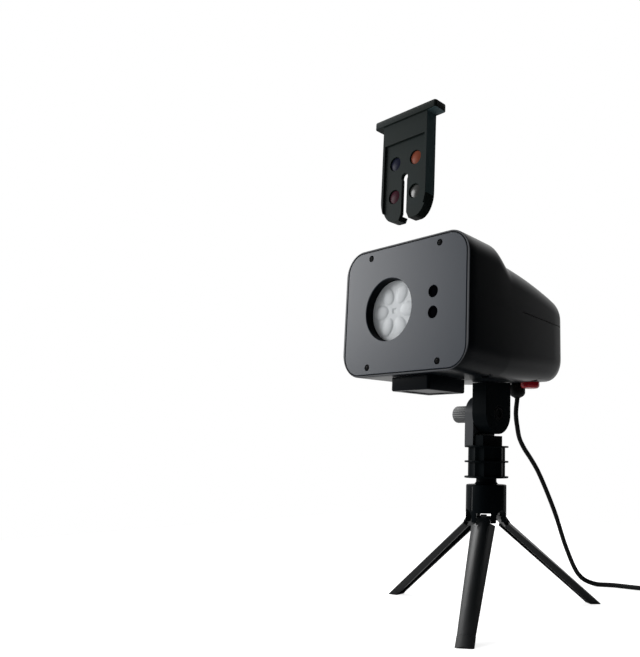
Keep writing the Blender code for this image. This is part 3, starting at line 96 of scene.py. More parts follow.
def arc(centre: Point, radius: float, start_deg: float, end_deg: float, steps: int) -> Outline:
    """Points along an arc.

    Args:
        centre: The middle of the arc.
        radius: Its radius.
        start_deg: The angle of its first point.
        end_deg: The angle of its last point.
        steps: How many stretches it is divided into.

    Returns:
        The points, both ends included.
    """
    points = []
    for step in range(steps + 1):
        angle = math.radians(start_deg + (end_deg - start_deg) * step / steps)
        points.append((centre[0] + radius * math.cos(angle), centre[1] + radius * math.sin(angle)))
    return points


def rounded(width: float, height: float, radius: float, steps: int, centre: Point = (0.0, 0.0)) -> Outline:
    """The outline of a rectangle with round corners.

    Args:
        width: Its whole width.
        height: Its whole height.
        radius: The radius of each corner.
        steps: Stretches in each corner.
        centre: Its middle.

    Returns:
        The points, anticlockwise from the right.
    """
    points: Outline = []
    across = 0.5 * width - radius
    up = 0.5 * height - radius
    for turn, (side, rise) in enumerate(((1, 1), (-1, 1), (-1, -1), (1, -1))):
        corner = (centre[0] + side * across, centre[1] + rise * up)
        points += arc(corner, radius, 90.0 * turn, 90.0 * turn + 90.0, steps)
    return points


def placed(direction: Direction, point: Point, height: float) -> Vector:
    """An outline's point at a height along a direction.

    Args:
        direction: The direction.
        point: The outline's point.
        height: How far along it lies.

    Returns:
        The place.
    """
    if direction is Direction.X:
        return Vector((height, point[0], point[1]))
    if direction is Direction.Y:
        return Vector((point[0], height, point[1]))
    return Vector((point[0], point[1], height))


def loft(rings: Sequence[Ring]) -> bmesh.types.BMesh:
    """A closed form through rings that have as many points each.

    Args:
        rings: The rings, in order.

    Returns:
        The form, with flat ends.
    """
    bm = bmesh.new()
    rows = [[bm.verts.new(point) for point in ring] for ring in rings]
    for near, far in zip(rows, rows[1:]):
        for index in range(len(near)):
            after = (index + 1) % len(near)
            bm.faces.new((near[index], near[after], far[after], far[index]))
    bm.faces.new(rows[0])
    bm.faces.new(rows[-1])
    return bm


def stepped(
    size: Point,
    corner: float,
    centre: Point,
    bottom: float,
    stages: Iterable[Point],
    follow: float = 0.5,
) -> bmesh.types.BMesh:
    """A block with round corners whose size changes as it rises.

    Args:
        size: Its width and its depth.
        corner: The radius of its corners.
        centre: Its middle.
        bottom: The height that the stages count from.
        stages: The rise and the inset of each ring, from below.
        follow: How much of an inset is taken off the corners.

    Returns:
        The closed form.
    """
    rings = []
    for rise, inset in stages:
        radius = corner - follow * inset
        shape = rounded(size[0] - 2.0 * inset, size[1] - 2.0 * inset, radius, 8, centre)
        rings.append([Vector((x, y, bottom + rise)) for x, y in shape])
    return loft(rings)


def prism(outline: Outline, low: float, high: float, direction: Direction = Direction.Z) -> bmesh.types.BMesh:
    """An outline drawn out along a direction.

    Args:
        outline: The outline's points.
        low: Where it starts along the direction.
        high: Where it ends.
        direction: The direction.

    Returns:
        The closed form.
    """
    return loft([[placed(direction, point, height) for point in outline] for height in (low, high)])


def block(low: Sequence[float], high: Sequence[float]) -> bmesh.types.BMesh:
    """A block between two corners, which only cuts."""
    outline = [(low[0], low[1]), (high[0], low[1]), (high[0], high[1]), (low[0], high[1])]
    return prism(outline, low[2], high[2])


def turned(
    profile: Sequence[Point],
    direction: Direction = Direction.Z,
    centre: Sequence[float] = (0.0, 0.0, 0.0),
    steps: int = 48,
) -> bmesh.types.BMesh:
    """A profile turned about a line.

    Args:
        profile: Points as distance from the line and height along it.
        direction: The line's direction.
        centre: A place on the line, from which heights count.
        steps: Faces round the form.

    Returns:
        The closed form.
    """
    bm = bmesh.new()
    verts = [bm.verts.new((radius, 0.0, height)) for radius, height in profile]
    edges = [bm.edges.new(pair) for pair in zip(verts, verts[1:])]
    if profile[0][0] > 0.0:
        edges.append(bm.edges.new((verts[-1], verts[0])))
    bmesh.ops.spin(
        bm,
        geom=verts + edges,
        cent=(0.0, 0.0, 0.0),
        axis=(0.0, 0.0, 1.0),
        angle=math.tau,
        steps=steps,
        use_merge=True,
    )
    bmesh.ops.remove_doubles(bm, verts=bm.verts, dist=1e-7)
    if direction is Direction.X:
        bm.transform(Matrix.Rotation(math.radians(90.0), 4, "Y"))
    elif direction is Direction.Y:
        bm.transform(Matrix.Rotation(math.radians(-90.0), 4, "X"))
    bm.transform(Matrix.Translation(centre))
    return bm


def rod(
    radius: float,
    low: float,
    high: float,
    direction: Direction = Direction.Z,
    centre: Sequence[float] = (0.0, 0.0, 0.0),
    steps: int = 32,
) -> bmesh.types.BMesh:
    """A round bar, which cuts or joins, by its radius and its two ends along a direction."""
    return turned(((0.0, low), (radius, low), (radius, high), (0.0, high)), direction, centre, steps)


def spun(bm: bmesh.types.BMesh, angle_deg: float) -> bmesh.types.BMesh:
    """A form turned about the tripod's axis."""
    bm.transform(Matrix.Rotation(math.radians(angle_deg), 4, "Z"))
    return bm


def face_out(bm: bmesh.types.BMesh) -> None:
    """Turns every face of a closed form outwards.

    Args:
        bm: The form.
    """
    bmesh.ops.recalc_face_normals(bm, faces=bm.faces)
    if bm.calc_volume(signed=True) < 0.0:
        bmesh.ops.reverse_faces(bm, faces=bm.faces)


class Piece:
    """A mesh piece of the projector that takes cuts and rides on a body."""

    def __init__(self, name: str, bm: bmesh.types.BMesh) -> None:
        """Makes the object.

        Args:
            name: The piece's name.
            bm: Its form, from the tripod's axis.
        """
        face_out(bm)
        mesh = bpy.data.meshes.new(name)
        bm.to_mesh(mesh)
        bm.free()
        mesh.transform(Matrix.Translation(AXIS))
        self.obj = bpy.data.objects.new(name, mesh)
        bpy.context.collection.objects.link(self.obj)

    def combine(self, bm: bmesh.types.BMesh, joining: Joining) -> "Piece":
        """Adds or cuts a closed form.

        Args:
            bm: The form, from the tripod's axis.
            joining: Whether it is added or cut out.

        Returns:
            This piece.
        """
        tool = Piece(f"{self.obj.name}_tool", bm).obj
        boolean = self.obj.modifiers.new("combine", "BOOLEAN")
        boolean.operation = joining.value
        boolean.solver = "EXACT"
        boolean.object = tool
        graph = bpy.context.evaluated_depsgraph_get()
        mesh = bpy.data.meshes.new_from_object(self.obj.evaluated_get(graph))
        self.obj.modifiers.clear()
        old = self.obj.data
        self.obj.data = mesh
        bpy.data.meshes.remove(old)
        bpy.data.meshes.remove(tool.data)
        mesh.name = self.obj.name
        return self

    def cut(self, bm: bmesh.types.BMesh) -> "Piece":
        """Cuts a closed form out."""
        return self.combine(bm, Joining.CUT)

    def add(self, bm: bmesh.types.BMesh) -> "Piece":
        """Adds a closed form."""
        return self.combine(bm, Joining.ADD)

    def soften(self, width: float, segments: int = 2, angle_deg: float = 32.0) -> "Piece":
        """Rounds the sharp edges.

        Args:
            width: How wide the rounding is.
            segments: Faces across it.
            angle_deg: The least angle of an edge that is rounded.

        Returns:
            This piece.
        """
        bevel = self.obj.modifiers.new("soft_edges", "BEVEL")
        bevel.width = width
        bevel.segments = segments
        bevel.limit_method = "ANGLE"
        bevel.angle_limit = math.radians(angle_deg)
        bevel.miter_outer = "MITER_ARC"
        bevel.harden_normals = False
        return self

    def finish(self, material: bpy.types.Material, body: str, *nodes: str, smooth_deg: float = 38.0) -> None:
        """Shades the piece, dresses it and puts it on its body.

        Args:
            material: Its material.
            body: The body that it rides on.
            nodes: The solids that it stands for.
            smooth_deg: The sharpest angle that is shaded smooth.
        """
        mesh = self.obj.data
        mesh.shade_smooth()
        mesh.set_sharp_from_angle(angle=math.radians(smooth_deg))
        mesh.materials.clear()
        mesh.materials.append(material)
        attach(self.obj, body)
        if nodes:
            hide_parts(*nodes)
        LOG.info("%s rides on %s", self.obj.name, body)

    def paint(self, material: bpy.types.Material, chosen: Callable[[Vector], bool]) -> "Piece":
        """Gives some faces another material, once the piece is dressed.

        Args:
            material: The material.
            chosen: Whether a face is painted, by its middle from the tripod's axis.

        Returns:
            This piece.
        """
        mesh = self.obj.data
        mesh.materials.append(material)
        number = len(mesh.materials) - 1
        for face in mesh.polygons:
            if chosen(Vector(face.center) - AXIS):
                face.material_index = number
        return self


class SkinGroup:
    """The shader node group of moulded and coated surfaces: cloudy tone, uneven gloss, fine grain."""

    CLOUD_DETAIL = 3.0
    GRAIN_DETAIL = 1.5

    def __init__(self) -> None:
        """Builds the group once."""
        self.tree = bpy.data.node_groups.new("moulded_skin", "ShaderNodeTree")
        face = self.tree.interface
        for name, kind, value in (
            ("Tone", "NodeSocketColor", (0.02, 0.02, 0.02, 1.0)),
            ("Cloud", "NodeSocketColor", (0.03, 0.03, 0.03, 1.0)),
            ("Cloud Scale", "NodeSocketFloat", 30.0),
            ("Grain Scale", "NodeSocketFloat", 1600.0),
            ("Least Roughness", "NodeSocketFloat", 0.3),
            ("Most Roughness", "NodeSocketFloat", 0.5),
        ):
            socket = face.new_socket(name=name, in_out="INPUT", socket_type=kind)
            socket.default_value = value
        face.new_socket(name="Color", in_out="OUTPUT", socket_type="NodeSocketColor")
        face.new_socket(name="Roughness", in_out="OUTPUT", socket_type="NodeSocketFloat")
        face.new_socket(name="Height", in_out="OUTPUT", socket_type="NodeSocketFloat")
        nodes = self.tree.nodes
        source = nodes.new("NodeGroupInput").outputs
        sink = nodes.new("NodeGroupOutput").inputs
        place = nodes.new("ShaderNodeTexCoord").outputs["Object"]
        cloud = nodes.new("ShaderNodeTexNoise")
        cloud.inputs["Detail"].default_value = self.CLOUD_DETAIL
        grain = nodes.new("ShaderNodeTexNoise")
        grain.inputs["Detail"].default_value = self.GRAIN_DETAIL
        tone = nodes.new("ShaderNodeMix")
        tone.data_type = "RGBA"
        gloss = nodes.new("ShaderNodeMapRange")
        for start, end in (
            (place, cloud.inputs["Vector"]),
            (place, grain.inputs["Vector"]),
            (source["Cloud Scale"], cloud.inputs["Scale"]),
            (source["Grain Scale"], grain.inputs["Scale"]),
            (cloud.outputs["Fac"], tone.inputs["Factor"]),
            (source["Tone"], tone.inputs["A"]),
            (source["Cloud"], tone.inputs["B"]),
            (cloud.outputs["Fac"], gloss.inputs["Value"]),
            (source["Least Roughness"], gloss.inputs["To Min"]),
            (source["Most Roughness"], gloss.inputs["To Max"]),
            (tone.outputs["Result"], sink["Color"]),
            (gloss.outputs["Result"], sink["Roughness"]),
            (grain.outputs["Fac"], sink["Height"]),
        ):
            self.tree.links.new(start, end)


@dataclass(frozen=True)
class Finish:
    """A finish: its colours, gloss and grain."""

    name: str
    tone: Place
    cloud: Place
    roughness: tuple[float, float] = (0.32, 0.46)
    cloud_scale: float = 30.0
    grain_scale: float = 1600.0
    grain_depth: float = 0.00002
    specular: float = 0.5
    metallic: float = 0.0
    subsurface: float = 0.0
    subsurface_reach: float = 0.004
    slot: str = ""

    def material(self, skin: SkinGroup) -> bpy.types.Material:
        """Builds the material.

        Args:
            skin: The shared node group.

        Returns:
            The material.
        """
        mat = bpy.data.materials.new(self.name)
        mat["slot"] = self.slot or self.name
        mat.use_nodes = True
        nodes = mat.node_tree.nodes
        links = mat.node_tree.links
        shader = nodes["Principled BSDF"]
        group = nodes.new("ShaderNodeGroup")
        group.node_tree = skin.tree
        for socket, value in (
            ("Tone", (*self.tone, 1.0)),
            ("Cloud", (*self.cloud, 1.0)),
            ("Cloud Scale", self.cloud_scale),
            ("Grain Scale", self.grain_scale),
            ("Least Roughness", self.roughness[0]),
            ("Most Roughness", self.roughness[1]),
        ):
            group.inputs[socket].default_value = value
        bump = nodes.new("ShaderNodeBump")
        bump.inputs["Strength"].default_value = 1.0
        bump.inputs["Distance"].default_value = self.grain_depth
        links.new(group.outputs["Color"], shader.inputs["Base Color"])
        links.new(group.outputs["Roughness"], shader.inputs["Roughness"])
        links.new(group.outputs["Height"], bump.inputs["Height"])
        links.new(bump.outputs["Normal"], shader.inputs["Normal"])
        shader.inputs["Specular IOR Level"].default_value = self.specular
        shader.inputs["Metallic"].default_value = self.metallic
        shader.inputs["Subsurface Weight"].default_value = self.subsurface
        if self.subsurface > 0.0:
            shader.inputs["Subsurface Radius"].default_value = (self.subsurface_reach,) * 3
        return mat


SHELL = Finish(
    "shell_black", (0.0022, 0.0034, 0.0050), (0.0036, 0.0052, 0.0070), (0.26, 0.36), specular=0.048
)
# Charcoal band on the black shell's front lip round the panel: a painted highlight along that edge.
RIM_HIGHLIGHT = Finish(
    "rim_painted_highlight", (0.030, 0.034, 0.042), (0.036, 0.040, 0.048), (0.5, 0.6), specular=0.4, slot="shell_black"
)
PANEL = Finish(
    "panel_charcoal", (0.010, 0.017, 0.030), (0.013, 0.021, 0.034), (0.34, 0.40), 12.0, specular=0.25
)
TRIPOD = Finish(
    "tripod_black", (0.0022, 0.0038, 0.0048), (0.0036, 0.0054, 0.0066), (0.30, 0.40), specular=0.02
)
LEG = Finish(
    "leg_black",
    (0.0030, 0.0044, 0.0052),
    (0.0046, 0.0062, 0.0072),
    (0.30, 0.36),
    specular=0.38,
    slot="tripod_black",
)
# A lighter grey copy of the tripod black, for the post's ear: painted light on the ear's lit face.
EAR_LIT = Finish(
    "ear_painted_light", (0.026, 0.030, 0.035), (0.032, 0.036, 0.041), (0.40, 0.50), specular=0.25, slot="tripod_black"
)
# A lighter grey copy of the tripod black: painted light on the knob, and a painted highlight in the hub's
# channels.
LIT_GREY = Finish(
    "lit_grey_painted_light",
    (0.060, 0.063, 0.065),
    (0.070, 0.073, 0.075),
    (0.36, 0.48),
    specular=0.45,
    slot="tripod_black",
)
FOOT = Finish(
    "foot_rubber",
    (0.0030, 0.0044, 0.0052),
    (0.0046, 0.0062, 0.0072),
    (0.32, 0.38),
    60.0,
    specular=0.36,
    slot="cord_rubber",
)
INSIDE = Finish("inside_plastic", (0.030, 0.030, 0.033), (0.042, 0.042, 0.046), (0.45, 0.60), specular=0.3)
DARK = Finish(
    "dark_window", (0.002, 0.002, 0.003), (0.003, 0.003, 0.004), (0.30, 0.40), grain_depth=0.0, specular=0.0
)
SENSOR = Finish(
    "sensor_window",
    (0.013, 0.014, 0.017),
    (0.018, 0.019, 0.022),
    (0.30, 0.40),
    specular=0.08,
    slot="dark_window",
)
FROSTED = Finish(
    "frosted_lens",
    (0.60, 0.63, 0.65),
    (0.72, 0.75, 0.77),
    (0.36, 0.48),
    60.0,
    900.0,
    0.00003,
    specular=0.3,
    subsurface=0.6,
)
CARD = Finish("card_plastic", (0.010, 0.021, 0.023), (0.020, 0.021, 0.017), (0.42, 0.54), 18.0, specular=0.04)
# A lighter teal copy of the card plastic: painted light on the card's right side, which the cloths keep in
# shade.
CARD_SIDE_LIT = Finish(
    "card_side_painted_light",
    (0.050, 0.085, 0.092),
    (0.060, 0.095, 0.102),
    (0.5, 0.6),
    18.0,
    specular=0.1,
    slot="card_plastic",
)
RED = Finish("button_red", (0.36, 0.004, 0.014), (0.42, 0.006, 0.020), (0.25, 0.38), specular=0.25)
RUBBER = Finish(
    "cord_rubber", (0.006, 0.007, 0.007), (0.010, 0.011, 0.011), (0.50, 0.65), 60.0, specular=0.10
)
DARK_STEEL = Finish(
    "dark_steel", (0.0020, 0.0022, 0.0028), (0.0030, 0.0034, 0.0040), (0.34, 0.46), 90.0, specular=0.04
)
BRIGHT_STEEL = Finish(
    "bright_steel", (0.50, 0.51, 0.53), (0.58, 0.59, 0.61), (0.22, 0.36), 120.0, metallic=1.0
)
BOLT = Finish(
    "bolt_black",
    (0.0024, 0.0030, 0.0036),
    (0.0036, 0.0044, 0.0050),
    (0.34, 0.44),
    specular=0.03,
    slot="bright_steel",
)
BOARD = Finish("circuit_board", (0.015, 0.070, 0.035), (0.020, 0.090, 0.045), (0.35, 0.50), 80.0)
LAMP = Finish("lamp_dome", (0.60, 0.60, 0.52), (0.68, 0.68, 0.60), (0.10, 0.20), 80.0)
VIOLET = Finish(
    "filter_violet", (0.006, 0.008, 0.022), (0.010, 0.011, 0.032), (0.30, 0.42), 200.0, specular=0.04
)
MAGENTA = Finish(
    "filter_magenta", (0.040, 0.008, 0.016), (0.056, 0.010, 0.020), (0.30, 0.42), 200.0, specular=0.04
)
ORANGE = Finish(
    "filter_orange", (0.20, 0.050, 0.026), (0.28, 0.070, 0.036), (0.30, 0.42), 200.0, specular=0.04
)
CLEAR = Finish(
    "filter_clear", (0.014, 0.016, 0.015), (0.028, 0.030, 0.027), (0.10, 0.30), 160.0, specular=0.25
)
FILTERS = (VIOLET, MAGENTA, ORANGE, CLEAR)


class Wardrobe:
    """Every finish as a material, made once."""

    def __init__(self) -> None:
        """Starts with no material made."""
        self.skin = SkinGroup()
        self.made: dict[str, bpy.types.Material] = {}

    def get(self, finish: Finish) -> bpy.types.Material:
        """The material of a finish.

        Args:
            finish: The finish.

        Returns:
            The material, made when it is first asked for.
        """
        if finish.name not in self.made:
            self.made[finish.name] = finish.material(self.skin)
        return self.made[finish.name]

    def dress(self, finish: Finish, nodes: Iterable[str], objects: dict[str, bpy.types.Object]) -> None:
        """Gives solids of the frame a finish.

        Args:
            finish: The finish.
            nodes: The solids' names.
            objects: The frame's objects by name.
        """
        for node in nodes:
            obj = objects[node]
            if not obj.material_slots:
                obj.data.materials.append(None)
            for slot in obj.material_slots:
                slot.link = "OBJECT"
                slot.material = self.get(finish)
            LOG.info("%s is dressed in %s", node, finish.name)


@dataclass
class Studio:
    """The pale floor, the soft light, the dark cloths on the right, and the camera."""

    focal: float = 36.075
    sensor: float = 36.0
    shift: float = -0.2309
    near_clip: float = 0.01
    place: Place = (0.3182, -0.4179, 0.1172)
    heading_deg: float = 38.71
    pitch_deg: float = 10.65
    roll_deg: float = 0.82
    floor_size: float = 1.3
    floor_tone: float = 0.86
    floor_glow: float = 0.80
    cloth_tone: float = 0.004
    matt: float = 0.9
    cloths: tuple[tuple[str, tuple[Place, ...]], ...] = (
        ("cloth_right", ((0.9, -1.5, -0.8), (0.9, 2.8, -0.8), (0.9, 2.8, 2.2), (0.9, -1.5, 2.2))),
        ("cloth_front", ((0.05, -1.25, -0.8), (1.0, -0.55, -0.8), (1.0, -0.55, 1.4), (0.05, -1.25, 1.4))),
        ("cloth_above", ((0.22, -1.5, 1.5), (0.9, -1.5, 1.5), (0.9, 0.5, 1.5), (0.22, 0.5, 1.5))),
    )
    lamps: tuple[tuple[str, Place, float, float], ...] = (
        ("key_left", (-1.15, -0.80, 0.60), 13.0, 0.65),
        ("top_soft", (-0.25, 0.75, 1.20), 1.3, 0.9),
        ("left_high", (-0.70, -0.02, 1.10), 4.55, 0.5),
    )
    lamp_aim: Place = (0.0, 0.0, 0.18)
    sky_strength: float = 0.42

    def camera(self) -> None:
        """Sets the camera at the photograph's place."""
        data = bpy.data.cameras.new("camera")
        data.lens = self.focal
        data.sensor_width = self.sensor
        data.shift_x = self.shift
        data.clip_start = self.near_clip
        obj = bpy.data.objects.new("camera", data)
        bpy.context.collection.objects.link(obj)
        turn = Matrix.Rotation(math.radians(self.heading_deg), 4, "Z")
        tilt = Matrix.Rotation(math.radians(90.0 + self.pitch_deg), 4, "X")
        roll = Matrix.Rotation(math.radians(self.roll_deg), 4, "Z")
        obj.matrix_world = Matrix.Translation(Vector(self.place) + AXIS) @ turn @ tilt @ roll
        bpy.context.scene.camera = obj

    def matt_paint(self, name: str, tone: float) -> bpy.types.Material:
        """A dull material with no highlight.

        Args:
            name: Its name.
            tone: How light it is.

        Returns:
            The material.
        """
        mat = bpy.data.materials.new(name)
        mat.use_nodes = True
        shader = mat.node_tree.nodes["Principled BSDF"]
        shader.inputs["Base Color"].default_value = (tone, tone, tone, 1.0)
        shader.inputs["Roughness"].default_value = self.matt
        shader.inputs["Specular IOR Level"].default_value = 0.0
        return mat

    @staticmethod
    def sheet(name: str, corners: Sequence[Place], mat: bpy.types.Material) -> bpy.types.Object:
        """A flat sheet of the studio.

        Args:
            name: Its name.
            corners: Its four corners.
            mat: Its material.

        Returns:
            The object.
        """
        mesh = bpy.data.meshes.new(name)
        mesh.from_pydata(corners, [], [(0, 1, 2, 3)])
        mesh.materials.append(mat)
        obj = bpy.data.objects.new(name, mesh)
        bpy.context.collection.objects.link(obj)
        return obj

    def floor(self) -> None:
        """The white floor, which keeps a faint shadow and melts into the background."""
        mat = self.matt_paint("floor_white", self.floor_tone)
        nodes = mat.node_tree.nodes
        links = mat.node_tree.links
        shader = nodes["Principled BSDF"]
        path = nodes.new("ShaderNodeLightPath")
        glow = nodes.new("ShaderNodeMath")
        glow.operation = "MULTIPLY"
        glow.inputs[1].default_value = self.floor_glow
        links.new(path.outputs["Is Camera Ray"], glow.inputs[0])
        shader.inputs["Emission Color"].default_value = (1.0, 1.0, 1.0, 1.0)
        links.new(glow.outputs[0], shader.inputs["Emission Strength"])
        half = 0.5 * self.floor_size
        corners = ((-half, -half, 0.0), (half, -half, 0.0), (half, half, 0.0), (-half, half, 0.0))
        self.sheet("studio_floor", corners, mat)

    def hang_cloths(self) -> None:
        """Black cloths, unseen by the camera, that keep the light off the projector's right side."""
        mat = self.matt_paint("black_cloth", self.cloth_tone)
        for name, corners in self.cloths:
            cloth = self.sheet(name, corners, mat)
            cloth.visible_camera = False

    def lamp(self, name: str, place: Place, power: float, size: float) -> None:
        """A soft square lamp that points at the projector.

        Args:
            name: Its name.
            place: Where it stands.
            power: Its power in watts.
            size: The length of its side.
        """
        data = bpy.data.lights.new(name, "AREA")
        data.energy = power
        data.size = size
        obj = bpy.data.objects.new(name, data)
        bpy.context.collection.objects.link(obj)
        obj.location = Vector(place)
        aim = Vector(self.lamp_aim) - Vector(place)
        obj.rotation_euler = aim.to_track_quat("-Z", "Y").to_euler()

    def sky(self) -> None:
        """A white surround that lights the projector at a plain level."""
        world = bpy.data.worlds.new("surround")
        bpy.context.scene.world = world
        world.use_nodes = True
        nodes = world.node_tree.nodes
        links = world.node_tree.links
        back = nodes["Background"]
        back.inputs["Color"].default_value = (1.0, 1.0, 1.0, 1.0)
        path = nodes.new("ShaderNodeLightPath")
        white = path.outputs["Is Camera Ray"]
        for ray in ("Is Glossy Ray", "Is Transmission Ray"):
            either = nodes.new("ShaderNodeMath")
            either.operation = "MAXIMUM"
            links.new(white, either.inputs[0])
            links.new(path.outputs[ray], either.inputs[1])
            white = either.outputs[0]
        level = nodes.new("ShaderNodeMapRange")
        level.inputs["To Min"].default_value = self.sky_strength
        level.inputs["To Max"].default_value = 1.0
        links.new(white, level.inputs["Value"])
        links.new(level.outputs["Result"], back.inputs["Strength"])

    def light(self) -> None:
        """Sets the lamps and the surround."""
        for name, place, power, size in self.lamps:
            self.lamp(name, place, power, size)
        self.sky()
        bpy.context.scene.view_settings.view_transform = "Standard"

    def build(self) -> None:
        """Builds the studio."""
        self.camera()
        self.floor()
        self.hang_cloths()
        self.light()


@dataclass
class PowerCord:
    """The cord from the gland to the floor, its coil and its plug."""

    radius: float = 0.0020
    bevel_steps: int = 4
    step: float = 0.0040
    route: tuple[Place, ...] = (
        (0.0000, 0.0420, 0.1666),
        (0.0000, 0.0420, 0.1620),
        (-0.0010, 0.0415, 0.1500),
        (-0.0025, 0.0460, 0.1380),
        (-0.0050, 0.0530, 0.1290),
        (-0.0050, 0.0610, 0.1200),
        (-0.0040, 0.0680, 0.1130),
        (-0.0020, 0.0800, 0.0980),
        (0.0000, 0.1000, 0.0670),
        (0.0020, 0.1160, 0.0350),
        (0.0060, 0.1300, 0.0110),
        (0.0150, 0.1410, 0.0026),
        (0.0320, 0.1480, 0.0022),
        (0.0560, 0.1500, 0.0026),
        (0.0760, 0.1500, 0.0037),
        (0.0820, 0.1500, 0.0037),
    )
    bend_start: Place = (0.0, 0.042, 0.160)
    bend_end: Place = (0.0, 0.110, 0.045)
    lead: float = 0.0340
    lead_points: int = 5
    outer: float = 0.0288
    pitch: float = 0.0050
    layers: int = 3
    turns: float = 2.5
    layer_pitch: float = 0.0048
    plug_rise: float = 0.0068
    tail: float = 0.0060
    points_per_turn: int = 48
    grip_stages: tuple[tuple[float, Place], ...] = (
        (0.0, (0.0074, 0.0060, 0.0026)),
        (0.0050, (0.0092, 0.0068, 0.0028)),
        (0.0085, (0.0160, 0.0085, 0.0026)),
        (0.0274, (0.0160, 0.0085, 0.0026)),
        (0.0280, (0.0152, 0.0077, 0.0022)),
    )
    grip_grooves: int = 4
    groove_start: float = 0.0110
    groove_pitch: float = 0.0034
    groove_half: Place = (0.0007, 0.0055, 0.0004)
    groove_rise: float = 0.0043
    shell_size: Place = (0.0120, 0.0045, 0.0005)
    shell_length: float = 0.0119
    shell_hollow: Place = (0.0112, 0.0037, 0.0004)
    shell_base: float = 0.0015
    catch: tuple[Point, Point, Point] = ((0.0055, 0.0075), (-0.0010, 0.0010), (0.0010, 0.0040))
    catch_across: float = 0.0028

    def smooth_route(self) -> Ring:
        """Places along the smooth hanging part.

        Returns:
            The places, from the gland down.
        """
        spots = [Vector(point) for point in self.route]
        spots = [2.0 * spots[0] - spots[1], *spots, 2.0 * spots[-1] - spots[-2]]
        way = [spots[1]]
        for before, start, end, after in zip(spots, spots[1:], spots[2:], spots[3:]):
            count = max(1, round((end - start).length / self.step))
            for index in range(1, count + 1):
                t = index / count
                bend = (end - before) * t + (2.0 * before - 5.0 * start + 4.0 * end - after) * t**2
                bend += (3.0 * start - before - 3.0 * end + after) * t**3
                way.append(start + 0.5 * bend)
        return way

    def coil_point(self, centre: Vector, radius: float, step: int, height: float) -> Vector:
        """A place on the coil after so many steps round it."""
        angle = math.radians(-90.0) + math.tau * step / self.points_per_turn
        return centre + Vector((radius * math.cos(angle), radius * math.sin(angle), height))

    def coil_route(self) -> Ring:
        """Places along the wound part, from its lead to the plug.

        Returns:
            The places, in order.
        """
        start = Vector(self.route[-1]) + Vector((GAP, 0.0, 0.0))
        centre = start + Vector((self.lead, self.outer, 0.0))
        stretch = self.lead / self.lead_points
        way = [start + Vector((stretch * index, 0.0, 0.0)) for index in range(self.lead_points)]
        inner = self.outer - self.pitch * self.turns
        steps = round(self.turns * self.points_per_turn)
        half = self.points_per_turn // 2
        total = 0
        height = 0.0
        for layer in range(self.layers):
            near, far = (self.outer, inner) if layer % 2 == 0 else (inner, self.outer)
            for index in range(steps):
                radius = near + (far - near) * index / steps
                way.append(self.coil_point(centre, radius, total, height))
                total += 1
            rise = self.layer_pitch if layer < self.layers - 1 else self.plug_rise
            for index in range(half):
                way.append(self.coil_point(centre, far, total, height + rise * index / half))
                total += 1
            height += rise
        last = self.coil_point(centre, inner, total, height)
        return [*way, last, last + Vector((self.tail, 0.0, 0.0))]

    def tube(self, name: str, way: Ring, mat: bpy.types.Material) -> bpy.types.Object:
        """A round cord along a way, as a mesh.

        Args:
            name: Its name.
            way: Its places.
            mat: Its material.

        Returns:
            The object.
        """
        data = bpy.data.curves.new(name, "CURVE")
        data.dimensions = "3D"
        data.bevel_depth = self.radius
        data.bevel_resolution = self.bevel_steps
        data.use_fill_caps = True
        spline = data.splines.new("POLY")
        spline.points.add(len(way) - 1)
        for point, place in zip(spline.points, way):
            point.co = (*(place + AXIS), 1.0)
        spline.use_smooth = True
        guide = bpy.data.objects.new(name + "_guide", data)
        mesh = bpy.data.meshes.new_from_object(guide)
        bpy.data.objects.remove(guide)
        mesh.materials.clear()
        mesh.materials.append(mat)
        mesh.shade_smooth()
        obj = bpy.data.objects.new(name, mesh)
        bpy.context.collection.objects.link(obj)
        return obj

    @staticmethod
    def length(way: Ring) -> float:
        """The length of a way."""
        return sum((after - before).length for before, after in zip(way, way[1:]))

    def build(self, wardrobe: Wardrobe) -> None:
        """Builds the cord, its coil and its plug.

        Args:
            wardrobe: The materials.
        """
        mat = wardrobe.get(RUBBER)
        hanging = self.smooth_route()
        cord = self.tube("power_cord", hanging, mat)
        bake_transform(cord)
        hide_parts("cord")
        wound = self.coil_route()
        coil = self.tube("power_cord_coil", wound, mat)
        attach(coil, "post")
        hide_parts("cord_coil")
        plug, shell = self.plug(wardrobe, wound[-1])
        LOG.info("cord %.3f m hanging and %.3f m wound", self.length(hanging), self.length(wound))

    def plug(self, wardrobe: Wardrobe, tip: Vector) -> tuple[bpy.types.Object, bpy.types.Object]:
        """The plug's grip and metal shell.

        Args:
            wardrobe: The materials.
            tip: The end of the cord.

        Returns:
            The two objects.
        """
        start = tip + Vector((GAP, 0.0, 0.0))
        middle = (start.y, start.z)
        rings = []
        for along, size in self.grip_stages:
            rings.append([Vector((start.x + along, y, z)) for y, z in rounded(*size, 6, middle)])
        grip = Piece("usb_grip", loft(rings))
        half = Vector(self.groove_half)
        for index in range(self.grip_grooves):
            place = self.groove_start + self.groove_pitch * index + half.x
            for side in (-1.0, 1.0):
                spot = start + Vector((place, 0.0, side * self.groove_rise))
                grip.cut(block(spot - half, spot + half))
        grip.finish(wardrobe.get(INSIDE), "post", "usb_plug")
        near = start.x + self.grip_stages[-1][0] + GAP
        far = near + self.shell_length
        shell = Piece("usb_metal", prism(rounded(*self.shell_size, 3, middle), near, far, Direction.X))
        hollow = rounded(*self.shell_hollow, 3, middle)
        shell.cut(prism(hollow, near + self.shell_base, far + 2.0 * GAP, Direction.X))
        for across in (-self.catch_across, self.catch_across):
            place = Vector((near, start.y + across, start.z))
            low, high = (place + Vector(corner) for corner in zip(*self.catch))
            shell.cut(block(low, high))
        shell.finish(wardrobe.get(BRIGHT_STEEL), "post", "usb_shell")
        return grip.obj, shell.obj


